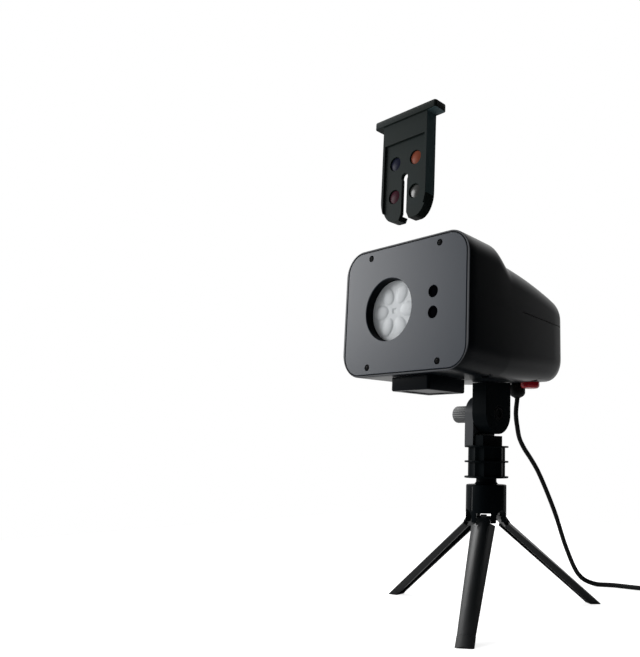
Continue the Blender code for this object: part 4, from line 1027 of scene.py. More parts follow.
def merged(forms: Iterable[bmesh.types.BMesh]) -> bmesh.types.BMesh:
    """Several forms that stand apart, as one mesh.

    Args:
        forms: The forms, which are used up.

    Returns:
        The mesh.
    """
    whole = bmesh.new()
    for form in forms:
        face_out(form)
        mesh = bpy.data.meshes.new("part_form")
        form.to_mesh(mesh)
        form.free()
        whole.from_mesh(mesh)
        bpy.data.meshes.remove(mesh)
    return whole


def lifted(outline: Outline) -> Outline:
    """Outline points given from the middle of the head, moved up to it."""
    return [(x, HEAD_Z + z) for x, z in outline]


@dataclass
class HeadShell:
    """The head's upper and lower shells."""

    half_width: float = 0.0600
    hood: float = 0.0474
    back: float = 0.0525
    taper: float = 0.0160
    taper_power: float = 1.2
    hood_end: float = -0.0640
    step_end: float = -0.0420
    low_roof: float = 0.0370
    roof_slope: float = 0.055
    roof_curve: float = 0.90
    belly_start: float = -0.0450
    belly_slope: float = 0.073
    roof_corner: float = 0.0180
    belly_corner: float = 0.0190
    back_rounding: float = 0.0200
    belly_rounding: float = 0.0080
    least_corner: float = 0.0010
    least_gap: float = 0.0002
    front_edge: float = 0.0005
    edge_steps: int = 4
    rim_highlight_depth: float = 0.0003
    hood_stations: Place = (-0.0900, -0.0780, -0.0680)
    step_rings: int = 16
    body_pitch: float = 0.006
    body_rings: int = 11
    turn_rings: int = 14
    wall: float = 0.0024
    ledge: float = -0.0932
    ledge_width: float = 0.0020
    ledge_slope: float = 0.001
    parting: float = 0.0020
    seam_start: float = -0.0280
    seam_share: float = 0.03
    reach: Point = (-0.12, 0.08)
    corner_steps: int = 12
    seat: Place = (0.1156, 0.0919, 0.0153)
    seat_depth: float = 0.0028
    groove: float = 0.0004
    bolts: tuple[Point, ...] = ((-0.0400, -0.0550), (0.0400, -0.0550), (-0.0315, 0.0260), (0.0315, 0.0200))
    boss: float = 0.0048
    boss_top: float = -0.0080
    boss_sink: float = 0.0021
    bolt_seat: float = -0.0160
    bolt_bores: Point = (0.0029, 0.0016)
    hole_top: float = -0.026
    button: Place = (0.0150, 0.0390, 0.0081)
    gland: Place = (0.0000, 0.0420, 0.0049)
    card_middle: float = -0.0832
    card_mouth: Place = (0.0472, 0.0112, 0.0012)
    mouth_depth: float = 0.008
    card_lip: Place = (0.0652, 0.0137, 0.0022)
    lip_depth: float = 0.0010

    @staticmethod
    def turn_in(y: float, radius: float, start: float) -> float:
        """How far a side has turned in at y, when it turns in over a radius from a start on."""
        past = min(max(y - start, 0.0), radius)
        return radius - math.sqrt(radius * radius - past * past)

    def roof(self, y: float) -> float:
        """Height of the roof over the middle of the head.

        Args:
            y: Where it is taken.

        Returns:
            The height.
        """
        if y <= self.hood_end:
            return self.hood
        if y < self.step_end:
            share = (y - self.hood_end) / (self.step_end - self.hood_end)
            return self.hood + (self.low_roof - self.hood) * share * share * (3.0 - 2.0 * share)
        past = y - self.step_end
        return self.low_roof - self.roof_slope * past - self.roof_curve * past * past

    def belly(self, y: float) -> float:
        """Height of the belly, which is negative."""
        return self.belly_slope * max(y - self.belly_start, 0.0) - self.hood

    def ring(self, y: float, inset: float) -> Ring:
        """The rounded section of the head.

        Args:
            y: Where it is cut.
            inset: How far it is drawn in.

        Returns:
            The points round it.
        """
        share = min(max(y - FRONT_Y, 0.0) / (self.back - FRONT_Y), 1.0)
        edge = self.back - inset
        turn = self.back_rounding - inset
        belly_turn = self.belly_rounding - inset
        side = inset + self.turn_in(y, turn, edge - turn)
        below = inset + self.turn_in(y, belly_turn, edge - belly_turn)
        half = self.half_width - self.taper * share**self.taper_power - side
        roof = self.roof(y) - side
        belly = self.belly(y) + below
        top = max(self.roof_corner - side, self.least_corner)
        low = max(self.belly_corner - side, self.least_corner)
        points = arc((half - top, roof - top), top, 0.0, 90.0, self.corner_steps)
        points += arc((top - half, roof - top), top, 90.0, 180.0, self.corner_steps)
        points += arc((low - half, belly + low), low, 180.0, 270.0, self.corner_steps)
        points += arc((half - low, belly + low), low, 270.0, 360.0, self.corner_steps)
        return [Vector((x, y, HEAD_Z + z)) for x, z in points]

    def stations(self, inset: float) -> list[float]:
        """The places of the sections from front to back, close together where the form turns.

        Args:
            inset: How far the form is drawn in.

        Returns:
            The places, in order.
        """
        places = list(self.hood_stations)
        count = self.step_rings
        length = self.step_end - self.hood_end
        places += [self.hood_end + length * step / count for step in range(count + 1)]
        places += [self.step_end + self.body_pitch * step for step in range(1, self.body_rings + 1)]
        start = self.back - self.back_rounding
        turn = self.back_rounding - inset
        angles = [math.radians(90.0 * step / self.turn_rings) for step in range(1, self.turn_rings)]
        places += [start + turn * math.sin(angle) for angle in angles]
        last = self.back - inset - self.least_gap
        return sorted(place for place in places if place < last)

    def form(self, inset: float) -> bmesh.types.BMesh:
        """The outer form, with a rounded front edge.

        Args:
            inset: How far it is drawn in, or grown where negative.

        Returns:
            The closed form.
        """
        turn = self.front_edge
        rings = []
        for step in range(self.edge_steps + 1):
            angle = math.radians(90.0 * step / self.edge_steps)
            place = FRONT_Y + inset + turn * (1.0 - math.cos(angle))
            rings.append(self.ring(place, inset + turn * (1.0 - math.sin(angle))))
        rings += [self.ring(y, inset) for y in self.stations(inset)]
        rings.append(self.ring(self.back - inset, inset))
        return loft(rings)

    def cavity(self) -> bmesh.types.BMesh:
        """The room inside, narrow behind the panel so that the panel has a ledge.

        Returns:
            The closed form.
        """
        narrow = self.wall + self.ledge_width
        rings = [self.ring(FRONT_Y - PAST, narrow), self.ring(self.ledge, narrow)]
        rings.append(self.ring(self.ledge + self.ledge_slope, self.wall))
        rings += [self.ring(y, self.wall) for y in self.stations(self.wall)[1::2]]
        rings.append(self.ring(self.back - self.wall, self.wall))
        return loft(rings)

    def half(self, name: str, keep_top: bool) -> Piece:
        """One half of the shell.

        Args:
            name: Its name.
            keep_top: Whether it is the upper half.

        Returns:
            The piece.
        """
        shell = Piece(name, self.form(0.0))
        shell.cut(self.cavity())
        width, height, corner = self.seat
        for grow, depth in ((0.0, self.seat_depth), (self.groove, self.groove)):
            shape = rounded(width + 2.0 * grow, height + 2.0 * grow, corner + grow, self.corner_steps)
            shell.cut(prism(lifted(shape), FRONT_Y - PAST, FRONT_Y + depth, Direction.Y))
        part = HEAD_Z + self.parting
        front, back = self.reach
        far = back if keep_top else -back
        near = GAP if keep_top else -GAP
        thin = self.seam_share * near
        steps = ((front, thin), (self.seam_start, thin), (self.seam_start, near), (back, near), (back, -far))
        outline = [(y, part + z) for y, z in (*steps, (front, -far))]
        return shell.cut(prism(outline, -back, back, Direction.X))

    def build(self, wardrobe: Wardrobe) -> None:
        """Builds both shells.

        Args:
            wardrobe: The materials.
        """
        upper = self.half("hood_shell", True)
        lower = self.half("belly_shell", False)
        part = HEAD_Z + self.boss_top
        roofs = [HEAD_Z + self.roof(y + self.boss) - self.boss_sink for _, y in self.bolts]
        spots = [(x, y, 0.0) for x, y in self.bolts]
        upper.add(merged(rod(self.boss, part + GAP, top, centre=spot) for spot, top in zip(spots, roofs)))
        lows = [HEAD_Z + self.belly(y) + 0.5 * self.wall for _, y in self.bolts]
        lower.add(merged(rod(self.boss, low, part, centre=spot) for spot, low in zip(spots, lows)))
        bottom = HEAD_Z - self.hood - PAST
        seat = HEAD_Z + self.bolt_seat
        wide, slim = self.bolt_bores
        above = part + PAST
        bore = ((0.0, bottom), (wide, bottom), (wide, seat), (slim, seat), (slim, above), (0.0, above))
        lower.cut(merged(turned(bore, centre=spot) for spot in spots))
        inside = HEAD_Z + self.hole_top
        holes = [(self.button[:2], self.button[2]), (self.gland[:2], self.gland[2])]
        lower.cut(merged(rod(radius, bottom, inside, centre=(*spot, 0.0)) for spot, radius in holes))
        top = HEAD_Z + self.hood
        middle = (LENS_X, self.card_middle)
        upper.cut(prism(rounded(*self.card_mouth, 6, middle), top - self.mouth_depth, top + PAST))
        upper.cut(prism(rounded(*self.card_lip, 8, middle), top - self.lip_depth, top + PAST))
        upper.finish(wardrobe.get(SHELL), "head", "upper_shell", smooth_deg=34.0)
        lower.finish(wardrobe.get(SHELL), "head", "lower_shell", smooth_deg=34.0)
        # The front lip of both shells is painted the charcoal band: a painted highlight along the edge round
        # the panel.
        for shell in (upper, lower):
            shell.paint(wardrobe.get(RIM_HIGHLIGHT), lambda middle: middle.y < FRONT_Y + self.rim_highlight_depth)


def cross_screw(name: str, place: Place, head: Point, shank: Point) -> Piece:
    """A round-headed screw with a cross in its head, which faces the front.

    Args:
        name: Its name.
        place: The front of its head.
        head: The head's radius and depth.
        shank: The shank's radius and the whole length.

    Returns:
        The piece.
    """
    radius, depth = head
    thick, length = shank
    dome = ((0.0, 0.0), (0.55, 0.03), (0.80, 0.16), (0.95, 0.36), (1.0, 0.60), (1.0, 1.0))
    profile = [(out * radius, down * depth) for out, down in dome]
    profile += [(thick, depth), (thick, length - thick), (0.4 * thick, length), (0.0, length)]
    screw = Piece(name, turned(profile, Direction.Y, place, 32))
    arm = 0.62 * radius
    thin = 0.13 * radius
    cross: Outline = []
    for turn in range(4):
        angle = math.radians(90.0 * turn)
        for across, along in ((thin, thin), (thin, arm), (-thin, arm)):
            x = across * math.cos(angle) - along * math.sin(angle)
            cross.append((x, across * math.sin(angle) + along * math.cos(angle)))
    shape = [(place[0] + x, place[2] + z) for x, z in cross]
    return screw.cut(prism(shape, place[1] - PAST, place[1] + 0.6 * depth, Direction.Y))


@dataclass
class FrontPanel:
    """The front panel with its lens collar, its screws and the laser windows."""

    size: Place = (0.1150, 0.0913, 0.0150)
    edge: float = 0.0004
    face_depth: float = 0.0005
    thickness: float = 0.0025
    aperture: float = 0.0227
    collar_wall: float = 0.0018
    collar_depth: float = 0.0100
    screws: Point = (0.0335, 0.0405)
    screw_recess: float = 0.0016
    screw_head: Point = (0.0020, 0.0012)
    screw_shank: Point = (0.0012, 0.0070)
    lasers: Point = (0.0286, 0.0072)
    laser_radius: float = 0.0041
    laser_profile: tuple[Point, ...] = (
        (0.0, 0.0008),
        (0.62, 0.0009),
        (0.66, 0.0011),
        (0.70, 0.0009),
        (0.76, 0.0006),
        (0.94, 0.0006),
        (1.0, 0.0008),
        (1.0, 0.0015),
        (0.0, 0.0015),
    )

    def plate(self) -> Piece:
        """The plate with its holes, its collar and its mouth.

        Returns:
            The piece.
        """
        width, height, corner = self.size
        back = FRONT_Y + self.thickness
        edge = self.edge
        rings = []
        for depth, inset in ((0.0, edge), (0.3 * edge, 0.3 * edge), (edge, 0.0), (self.thickness, 0.0)):
            outline = lifted(rounded(width - 2.0 * inset, height - 2.0 * inset, corner - inset, 14))
            rings.append([Vector((x, FRONT_Y + depth, z)) for x, z in outline])
        plate = Piece("face_plate", loft(rings))
        step = FRONT_Y + self.screw_recess
        wide = self.screw_head[0] + GAP
        hole = self.screw_shank[0] + GAP
        bore = ((0.0, -edge), (wide + edge, -edge), (wide, 0.5 * edge), (wide, step - FRONT_Y))
        bore = (*bore, (hole, step - FRONT_Y), (hole, self.thickness + edge), (0.0, self.thickness + edge))
        spots = [(x, FRONT_Y, HEAD_Z + z) for x, z in self.corners(self.screws)]
        plate.cut(merged(turned(bore, Direction.Y, spot, 32) for spot in spots))
        laser = self.laser_radius + 0.5 * GAP
        bore = ((0.0, -edge), (laser + edge, -edge), (laser, 0.5 * edge), (laser, self.thickness + edge))
        bore = (*bore, (0.0, self.thickness + edge))
        plate.cut(merged(turned(bore, Direction.Y, spot, 48) for spot in self.laser_spots()))
        lens = (LENS_X, 0.0, HEAD_Z)
        collar = FRONT_Y + self.collar_depth
        plate.add(rod(self.aperture + self.collar_wall, back - PAST, collar, Direction.Y, lens, 96))
        mouth = (
            (0.0, FRONT_Y - edge),
            (self.aperture + 1.6 * edge, FRONT_Y - edge),
            (self.aperture + 0.5 * edge, FRONT_Y + 0.6 * edge),
            (self.aperture, FRONT_Y + 1.6 * edge),
            (self.aperture, collar + edge),
            (0.0, collar + edge),
        )
        return plate.cut(turned(mouth, Direction.Y, lens, 96))

    @staticmethod
    def corners(spot: Point) -> tuple[Point, ...]:
        """The four corners about the middle of the head, left ones first and upper before lower."""
        x, z = spot
        return ((-x, z), (-x, -z), (x, z), (x, -z))

    def laser_spots(self) -> list[Place]:
        """The middles of the two laser windows, upper first."""
        x, z = self.lasers
        return [(x, FRONT_Y, HEAD_Z + side * z) for side in (1.0, -1.0)]

    def window(self, name: str, spot: Place) -> Piece:
        """A laser window: a ring, a hollow and a small dark lens."""
        profile = [(share * self.laser_radius, depth) for share, depth in self.laser_profile]
        return Piece(name, turned(profile, Direction.Y, spot, 48))

    def build(self, wardrobe: Wardrobe) -> None:
        """Builds the panel and what it carries.

        Args:
            wardrobe: The materials.
        """
        plate = self.plate()
        plate.finish(wardrobe.get(PANEL), "head", "front_panel", smooth_deg=16.0)
        # Every face behind the panel's front face is painted shell black: painted shade inside the lens
        # collar and the bores, and a dark joint round the panel's edge.
        plate.paint(wardrobe.get(SHELL), lambda middle: middle.y > FRONT_Y + self.face_depth)
        front = FRONT_Y + self.screw_recess - self.screw_head[1] - GAP
        for number, (x, z) in enumerate(self.corners(self.screws), 1):
            place = (x, front, HEAD_Z + z)
            screw = cross_screw(f"face_screw_{number}", place, self.screw_head, self.screw_shank)
            screw.finish(wardrobe.get(DARK_STEEL), "head", f"panel_screw_{number}")
        for number, spot in enumerate(self.laser_spots(), 1):
            window = self.window(f"laser_eye_{number}", spot)
            window.finish(wardrobe.get(DARK), "head", f"laser_window_{number}")


@dataclass
class LensDisc:
    """The frosted lens disc with its oval facets."""

    radius: float = 0.0223
    front: float = -0.0920
    thickness: float = 0.0026
    facets: int = 6
    reach: float = 0.0133
    half_length: float = 0.0070
    half_width: float = 0.0052
    height: float = 0.0007
    fullness: float = 0.55
    hub: float = 0.0017
    shaft: Point = (0.0015, 0.0016)
    rings: int = 44
    steps: int = 192

    def rise(self, radius: float, angle: float) -> float:
        """How far the face stands out at a place.

        Args:
            radius: Its distance from the disc's middle.
            angle: Its direction, in radians.

        Returns:
            The height, negative where the face is hollow.
        """
        out = 0.0
        if radius * max(abs(math.cos(angle)), abs(math.sin(angle))) < self.hub:
            out = -0.5 * self.height
        for facet in range(self.facets):
            middle = math.tau * facet / self.facets
            along = radius * math.cos(angle - middle) - self.reach
            across = radius * math.sin(angle - middle)
            away = (along / self.half_length) ** 2 + (across / self.half_width) ** 2
            if away < 1.0:
                out += self.height * (1.0 - away) ** self.fullness
        return out

    def build(self, wardrobe: Wardrobe) -> None:
        """Builds the disc.

        Args:
            wardrobe: The materials.
        """
        rows = []
        for row in range(1, self.rings + 1):
            radius = self.radius * row / self.rings
            ring = []
            for step in range(self.steps):
                angle = math.tau * step / self.steps
                y = self.front - self.rise(radius, angle)
                ring.append(Vector((LENS_X + radius * math.cos(angle), y, HEAD_Z + radius * math.sin(angle))))
            rows.append(ring)
        back = self.front + self.thickness
        rows.append([Vector((point.x, back, point.z)) for point in rows[-1]])
        disc = Piece("lens_face", loft(rows))
        radius, depth = self.shaft
        disc.cut(rod(radius, back - depth, back + PAST, Direction.Y, (LENS_X, 0.0, HEAD_Z)))
        disc.finish(wardrobe.get(FROSTED), "lens", "lens_disc", smooth_deg=70.0)


@dataclass
class SlideCard:
    """The slide card above the head, with its flange, its rails and its four colour windows."""

    width: float = 0.0460
    front: float = -0.0882
    depth: float = 0.0100
    height: float = 0.0800
    lift: float = 0.1040
    seat: float = 0.0467
    flange: Place = (0.0640, 0.0125, 0.0060)
    flange_corner: float = 0.0020
    flange_edge: float = 0.0003
    head_height: float = 0.0170
    rail: float = 0.0022
    recess: float = 0.0016
    shoulder: float = 0.0185
    toe: float = 0.0105
    slot: float = 0.0027
    slot_head: float = 0.0033
    notch: float = 0.0050
    web: float = 0.0030
    pocket_wall: float = 0.0028
    pocket_toe: float = 0.0125
    pocket_low: float = 0.0035
    filter_place: Point = (0.0105, 0.0133)
    filter_hole: float = 0.0047
    filter_radius: float = 0.0052
    filter_thickness: float = 0.0012
    filter_bevel: float = 0.0002
    pane: float = 0.0006
    shoulder_steps: int = 20
    soft_edge: float = 0.00035

    def outline(self) -> Outline:
        """The front view from the middle of the bottom edge.

        Returns:
            The points round it.
        """
        half = 0.5 * self.width
        curve = []
        for step in range(self.shoulder_steps + 1):
            angle = math.radians(90.0 * step / self.shoulder_steps)
            x = self.toe + (half - self.toe) * math.sin(angle)
            curve.append((x, self.shoulder * (1.0 - math.cos(angle))))
        mirrored = [(-x, z) for x, z in reversed(curve)]
        head = self.height - self.seat
        low = math.degrees(math.asin(math.sqrt(1.0 - (self.slot / self.slot_head) ** 2)))
        keyhole = arc((0.0, head), self.slot_head, 180.0 + low, -low, 28)
        lead = self.slot + 0.5 * self.notch
        left = [(-lead, 0.0), (-self.slot, self.notch)]
        right = [(self.slot, self.notch), (lead, 0.0)]
        top = self.height + PAST
        return [*curve, (half, top), (-half, top), *mirrored, *left, *keyhole, *right]

    def build(self, wardrobe: Wardrobe) -> None:
        """Builds the card and its windows.

        Args:
            wardrobe: The materials.
        """
        seat = HEAD_Z + self.seat + self.lift
        bottom = seat - self.height
        back = self.front + self.depth
        face = self.front + self.recess
        outline = [(LENS_X + x, bottom + z) for x, z in self.outline()]
        card = Piece("card_body", prism(outline, self.front, back, Direction.Y))
        rim = 0.5 * self.width - self.rail
        low = (LENS_X - rim, self.front - PAST, bottom - PAST)
        card.cut(block(low, (LENS_X + rim, face, seat - self.head_height)))
        half = 0.5 * self.width - self.pocket_wall
        top = self.height - self.head_height
        pocket = [(self.pocket_toe, self.pocket_low), (half, self.shoulder), (half, top)]
        pocket += [(-x, z) for x, z in reversed(pocket)]
        pocket = [(LENS_X + x, bottom + z) for x, z in pocket]
        card.cut(prism(pocket, face + self.web, back + PAST, Direction.Y))
        wide, deep, tall = self.flange
        edge = self.flange_edge
        middle = (LENS_X, self.front + 0.5 * self.depth)
        stages = [(0.0, edge), (edge, 0.0), (tall - 3.0 * edge, 0.0), (tall - edge, edge), (tall, 3.0 * edge)]
        card.add(stepped((wide, deep), self.flange_corner, middle, seat, stages))
        centre = HEAD_Z + self.lift
        spots = [(LENS_X + x, 0.0, centre + z) for x, z in FrontPanel.corners(self.filter_place)]
        end = face + self.filter_thickness + GAP
        step = end + GAP
        wide = self.filter_radius + GAP
        hole = self.filter_hole
        bevel = self.filter_bevel
        bore = [(0.0, face - PAST), (wide + PAST, face - PAST), (wide, face + bevel), (wide, step)]
        bore += [(hole, step), (hole, back + PAST), (0.0, back + PAST)]
        card.cut(merged(turned(bore, Direction.Y, spot, 48) for spot in spots))
        card.soften(self.soft_edge, 2, 40.0)
        card.finish(wardrobe.get(CARD), "card", "slide_card", smooth_deg=34.0)
        # The card's right side below its flange is painted the lighter teal: painted light on that side.
        side = LENS_X + 0.5 * self.width - NEAR
        card.paint(wardrobe.get(CARD_SIDE_LIT), lambda middle: middle.x > side and middle.z < seat)
        radius = self.filter_radius
        start = end - self.pane
        bevel = self.filter_bevel
        profile = [(0.0, start), (0.94 * radius, start), (radius, start + bevel), (radius, end), (0.0, end)]
        for number, (spot, finish) in enumerate(zip(spots, FILTERS), 1):
            window = Piece(f"card_glass_{number}", turned(profile, Direction.Y, spot, 48))
            window.finish(wardrobe.get(finish), "card", f"card_window_{number}")


@dataclass
class Underside:
    """What hangs below the head: the sensor pod, the cord's gland and the red button."""

    pod: tuple[float, float, float, float] = (0.0180, -0.0894, -0.0494, 0.0100)
    pod_corner: float = 0.0022
    pod_stages: tuple[Point, ...] = ((0.0, 0.0008), (0.0002, 0.0004), (0.0008, 0.0))
    window_inset: float = 0.0050
    window_corner: float = 0.0020
    window_stages: tuple[Point, ...] = ((-0.001, -0.0012), (0.0, -0.0004), (0.0004, 0.0), (0.0022, 0.0))
    pane: Point = (0.0007, 0.0019)
    pane_edge: float = 0.0002
    hood: float = 0.0474
    gland_y: float = 0.0420
    gland_radius: float = 0.0068
    gland_neck: float = 0.0046
    gland_dome: float = 0.0048
    gland_mouth: float = 0.0026
    gland_seat: tuple[Point, Point] = ((0.0, 0.0016), (0.0003, 0.0012))
    gland_throat: Point = (0.0023, 0.0040)
    gland_bottom: float = 0.1629
    gland_top: float = 0.18415
    skin_z: float = 0.17515
    button: Place = (0.0150, 0.0390, 0.0078)
    button_bottom: float = 0.17003
    button_height: float = 0.0112
    button_rim: float = 0.0026
    button_lip: Point = (0.0011, 0.0015)

    def build_pod(self, wardrobe: Wardrobe) -> None:
        """Builds the sensor pod and its window.

        Args:
            wardrobe: The materials.
        """
        half, front, back, height = self.pod
        middle = (0.0, 0.5 * (front + back))
        top = HEAD_Z - self.hood - GAP
        bottom = top + GAP - height
        stages = [*self.pod_stages, (height - GAP, 0.0)]
        pod = Piece("pod_box", stepped((2.0 * half, back - front), self.pod_corner, middle, bottom, stages))
        across = 2.0 * (half - self.window_inset)
        along = back - front - 2.0 * self.window_inset
        corner = self.window_corner
        pod.cut(stepped((across, along), corner, middle, bottom, self.window_stages, follow=0.0))
        pod.finish(wardrobe.get(SHELL), "head", "sensor_pod", smooth_deg=34.0)
        shape = rounded(across - 2.0 * GAP, along - 2.0 * GAP, corner - GAP, 8, middle)
        low, high = self.pane
        pane = Piece("pod_pane", prism(shape, bottom + low, bottom + high))
        pane.soften(self.pane_edge)
        pane.finish(wardrobe.get(SENSOR), "head", "sensor_window")

    def build_gland(self, wardrobe: Wardrobe) -> None:
        """Builds the domed gland that holds the cord.

        Args:
            wardrobe: The materials.
        """
        low = self.gland_bottom
        radius = self.gland_radius
        turns = [math.radians(angle) for angle in range(26, 91, 8)]
        dome = [(radius * math.sin(turn), low + self.gland_dome * (1.0 - math.cos(turn))) for turn in turns]
        skin = self.skin_z
        profile = (
            (0.0, low),
            (self.gland_mouth, low),
            *dome,
            *((radius - inset, skin - down) for inset, down in self.gland_seat),
            (self.gland_neck, skin - GAP),
            (self.gland_neck, self.gland_top),
            (0.0, self.gland_top),
        )
        place = (0.0, self.gland_y, 0.0)
        gland = Piece("gland_dome", turned(profile, centre=place, steps=48))
        throat, depth = self.gland_throat
        gland.cut(rod(throat, low - PAST, low + depth, centre=place))
        gland.finish(wardrobe.get(RUBBER), "head", "cord_gland")

    def build_button(self, wardrobe: Wardrobe) -> None:
        """Builds the round red button with its rounded rim and its hidden lip.

        Args:
            wardrobe: The materials.
        """
        x, y, radius = self.button
        low = self.button_bottom
        high = low + self.button_height
        rim = self.button_rim
        out, up = self.button_lip
        curve = arc((radius - rim, low + rim), rim, -90.0, 0.0, 10)
        profile = [(0.0, low), (0.5 * (radius - rim), low), *curve]
        profile += [(radius, high), (radius + out, high), (radius + out, high + up), (0.0, high + up)]
        button = Piece("button_cap", turned(profile, centre=(x, y, 0.0), steps=64))
        button.finish(wardrobe.get(RED), "button", "power_button", smooth_deg=40.0)

    def build(self, wardrobe: Wardrobe) -> None:
        """Builds everything below the head.

        Args:
            wardrobe: The materials.
        """
        self.build_pod(wardrobe)
        self.build_gland(wardrobe)
        self.build_button(wardrobe)


@dataclass
class TiltJoint:
    """The fluted post, its ear, the head's lug with its nut and the knurled knob, bored for the bolt through
    them.
    """

    bottom: float = 0.0979
    radius: float = 0.0146
    flute_depth: float = 0.0011
    flutes: int = 12
    flute_steps: int = 16
    flange_radius: float = 0.0172
    flange: float = 0.0014
    levels: Place = (0.0986, 0.1103, 0.1217)
    block_top: float = 0.1302
    block_right: float = 0.0060
    block_half: float = 0.0125
    soft_rim: float = 0.0003
    ear: Place = (-0.0110, -0.0028, 0.0140)
    boss: Point = (0.0105, 0.0022)
    boss_rim: float = 0.0006
    stud_bore: Point = (0.0034, 0.0113)
    soft_edge: float = 0.0005
    lug: Place = (-0.0025, 0.0117, 0.0160)
    lug_rise: float = 0.012
    bolt: float = 0.0030
    nut: Point = (0.0100, 0.0050)
    knob: Point = (0.0068, 0.0158)
    knob_neck: Point = (0.72, 0.0017)
    knob_front: tuple[Place, ...] = (
        (0.0, 0.0012, 0.0),
        (0.0003, 0.0006, 0.2),
        (0.0008, 0.0002, 0.7),
        (0.0014, 0.0, 1.0),
    )
    knob_back: tuple[Place, ...] = ((-0.0012, 0.0, 1.0), (-0.0004, 0.0002, 0.6), (0.0, 0.0006, 0.0))
    dish: Place = (0.0048, 0.0040, 0.0009)
    ridges: int = 24
    ridge: float = 0.0005
    ridge_steps: int = 6
    grip: float = 0.0100

    def side(self, height: float, radius: float, fluted: bool) -> Ring:
        """The post's outline at a height, with a groove for each flute.

        Args:
            height: The height.
            radius: Its largest radius.
            fluted: Whether it has grooves.

        Returns:
            The points round it.
        """
        count = self.flutes * self.flute_steps
        ring = []
        for step in range(count):
            angle = math.tau * step / count
            share = math.pi * (step % self.flute_steps) / self.flute_steps
            out = radius - (self.flute_depth * math.sin(share) if fluted else 0.0)
            ring.append(Vector((out * math.cos(angle), out * math.sin(angle), height)))
        return ring

    def post(self) -> Piece:
        """The fluted post with its three flanges, its block and its ear.

        Returns:
            The piece.
        """
        half = 0.5 * self.flange
        soft = self.soft_rim
        wide = self.flange_radius
        low, middle, high = self.levels
        rings = [self.side(self.bottom, wide - soft, False), self.side(self.bottom + soft, wide, False)]
        rings += [self.side(low + half - soft, wide, False), self.side(low + half, wide - soft, False)]
        for start, end in ((low + half, middle - half), (middle + half, high - half)):
            rings += [self.side(start, self.radius, True), self.side(end, self.radius, True)]
            rings += [self.side(end, wide - soft, False), self.side(end + soft, wide, False)]
            top = end + self.flange
            rings += [self.side(top - soft, wide, False), self.side(top, wide - soft, False)]
        post = Piece("post_column", loft(rings))
        left, right, round_ear = self.ear
        depth = self.block_half
        post.add(block((left, -depth, high), (self.block_right, depth, self.block_top)))
        outline = [(round_ear, high), *arc((0.0, PIVOT_Z), round_ear, 0.0, 180.0, 48), (-round_ear, high)]
        post.add(prism(outline, left, right, Direction.X))
        radius, length = self.boss
        start = left - length
        rim = self.boss_rim
        profile = (
            (0.0, start),
            (radius - rim, start),
            (radius - 0.3 * rim, start + 0.3 * rim),
            (radius, start + rim),
            (radius, left + rim),
            (0.0, left + rim),
        )
        pivot = (0.0, 0.0, PIVOT_Z)
        post.add(turned(profile, Direction.X, pivot, 64))
        post.cut(rod(self.bolt + GAP, start - rim, right + rim, Direction.X, pivot))
        bore, deep = self.stud_bore
        post.cut(rod(bore, self.bottom - rim, self.bottom + deep))
        return post.soften(self.soft_edge, 3, 50.0)

    def hexagon(self, width: float) -> Outline:
        """A hexagon about the pivot, by its width across the flats."""
        return arc((0.0, PIVOT_Z), 0.5 * width / math.cos(math.radians(30.0)), 30.0, 330.0, 5)

    def build_lug(self, wardrobe: Wardrobe, shell: HeadShell) -> None:
        """Builds the lug under the head and its nut.

        Args:
            wardrobe: The materials.
            shell: The head's shell, whose belly the lug meets.
        """
        left, right, radius = self.lug
        top = HEAD_Z - shell.hood + self.lug_rise
        outline = [*arc((0.0, PIVOT_Z), radius, 180.0, 360.0, 64), (radius, top), (-radius, top)]
        lug = Piece("head_lug", prism(outline, left, right, Direction.X))
        lug.cut(shell.form(-GAP))
        pivot = (0.0, 0.0, PIVOT_Z)
        lug.cut(rod(self.bolt + GAP, left - PAST, right + PAST, Direction.X, pivot))
        width, thick = self.nut
        pocket = right - thick - GAP
        lug.cut(prism(self.hexagon(width + 2.0 * GAP), pocket, right + PAST, Direction.X))
        lug.soften(self.soft_edge, 3, 50.0)
        lug.finish(wardrobe.get(TRIPOD), "head", "tilt_lug", smooth_deg=34.0)
        nut = Piece("lug_nut", prism(self.hexagon(width), pocket + GAP, right, Direction.X))
        nut.cut(rod(self.bolt + GAP, pocket, right + PAST, Direction.X, pivot))
        nut.soften(self.soft_rim, 2)
        nut.finish(wardrobe.get(DARK_STEEL), "head", "tilt_nut")

    def build_knob(self, wardrobe: Wardrobe) -> None:
        """Builds the knurled knob.

        Args:
            wardrobe: The materials.
        """
        radius, length = self.knob
        right = self.ear[0] - self.boss[1] - GAP
        share, gap = self.knob_neck
        shoulder = right - gap
        start = shoulder - length
        count = self.ridge_steps * self.ridges
        stages = [(start + along, inset, cut) for along, inset, cut in self.knob_front]
        stages += [(shoulder + along, inset, cut) for along, inset, cut in self.knob_back]
        rings = []
        for place, inset, cut in stages:
            ring = []
            for step in range(count):
                angle = math.tau * step / count
                groove = self.ridge * cut * (0.5 - 0.5 * math.cos(math.tau * step / self.ridge_steps))
                out = radius - inset - groove
                ring.append(Vector((place, out * math.cos(angle), PIVOT_Z + out * math.sin(angle))))
            rings.append(ring)
        knob = Piece("knob_grip", loft(rings))
        pivot = (0.0, 0.0, PIVOT_Z)
        knob.add(rod(share * radius, shoulder - PAST, right, Direction.X, pivot, 48))
        wide, floor, deep = self.dish
        front, back = start - PAST, start + deep
        dish = ((0.0, front), (wide, front), (wide, start), (floor, back), (0.0, back))
        knob.cut(turned(dish, Direction.X, pivot, 48))
        knob.cut(rod(self.bolt + GAP, right - self.grip, right + PAST, Direction.X, pivot))
        # The knob is finished in the lighter grey: painted light on a knob of tripod black.
        knob.finish(wardrobe.get(LIT_GREY), "clamp", "clamp_knob", smooth_deg=50.0)

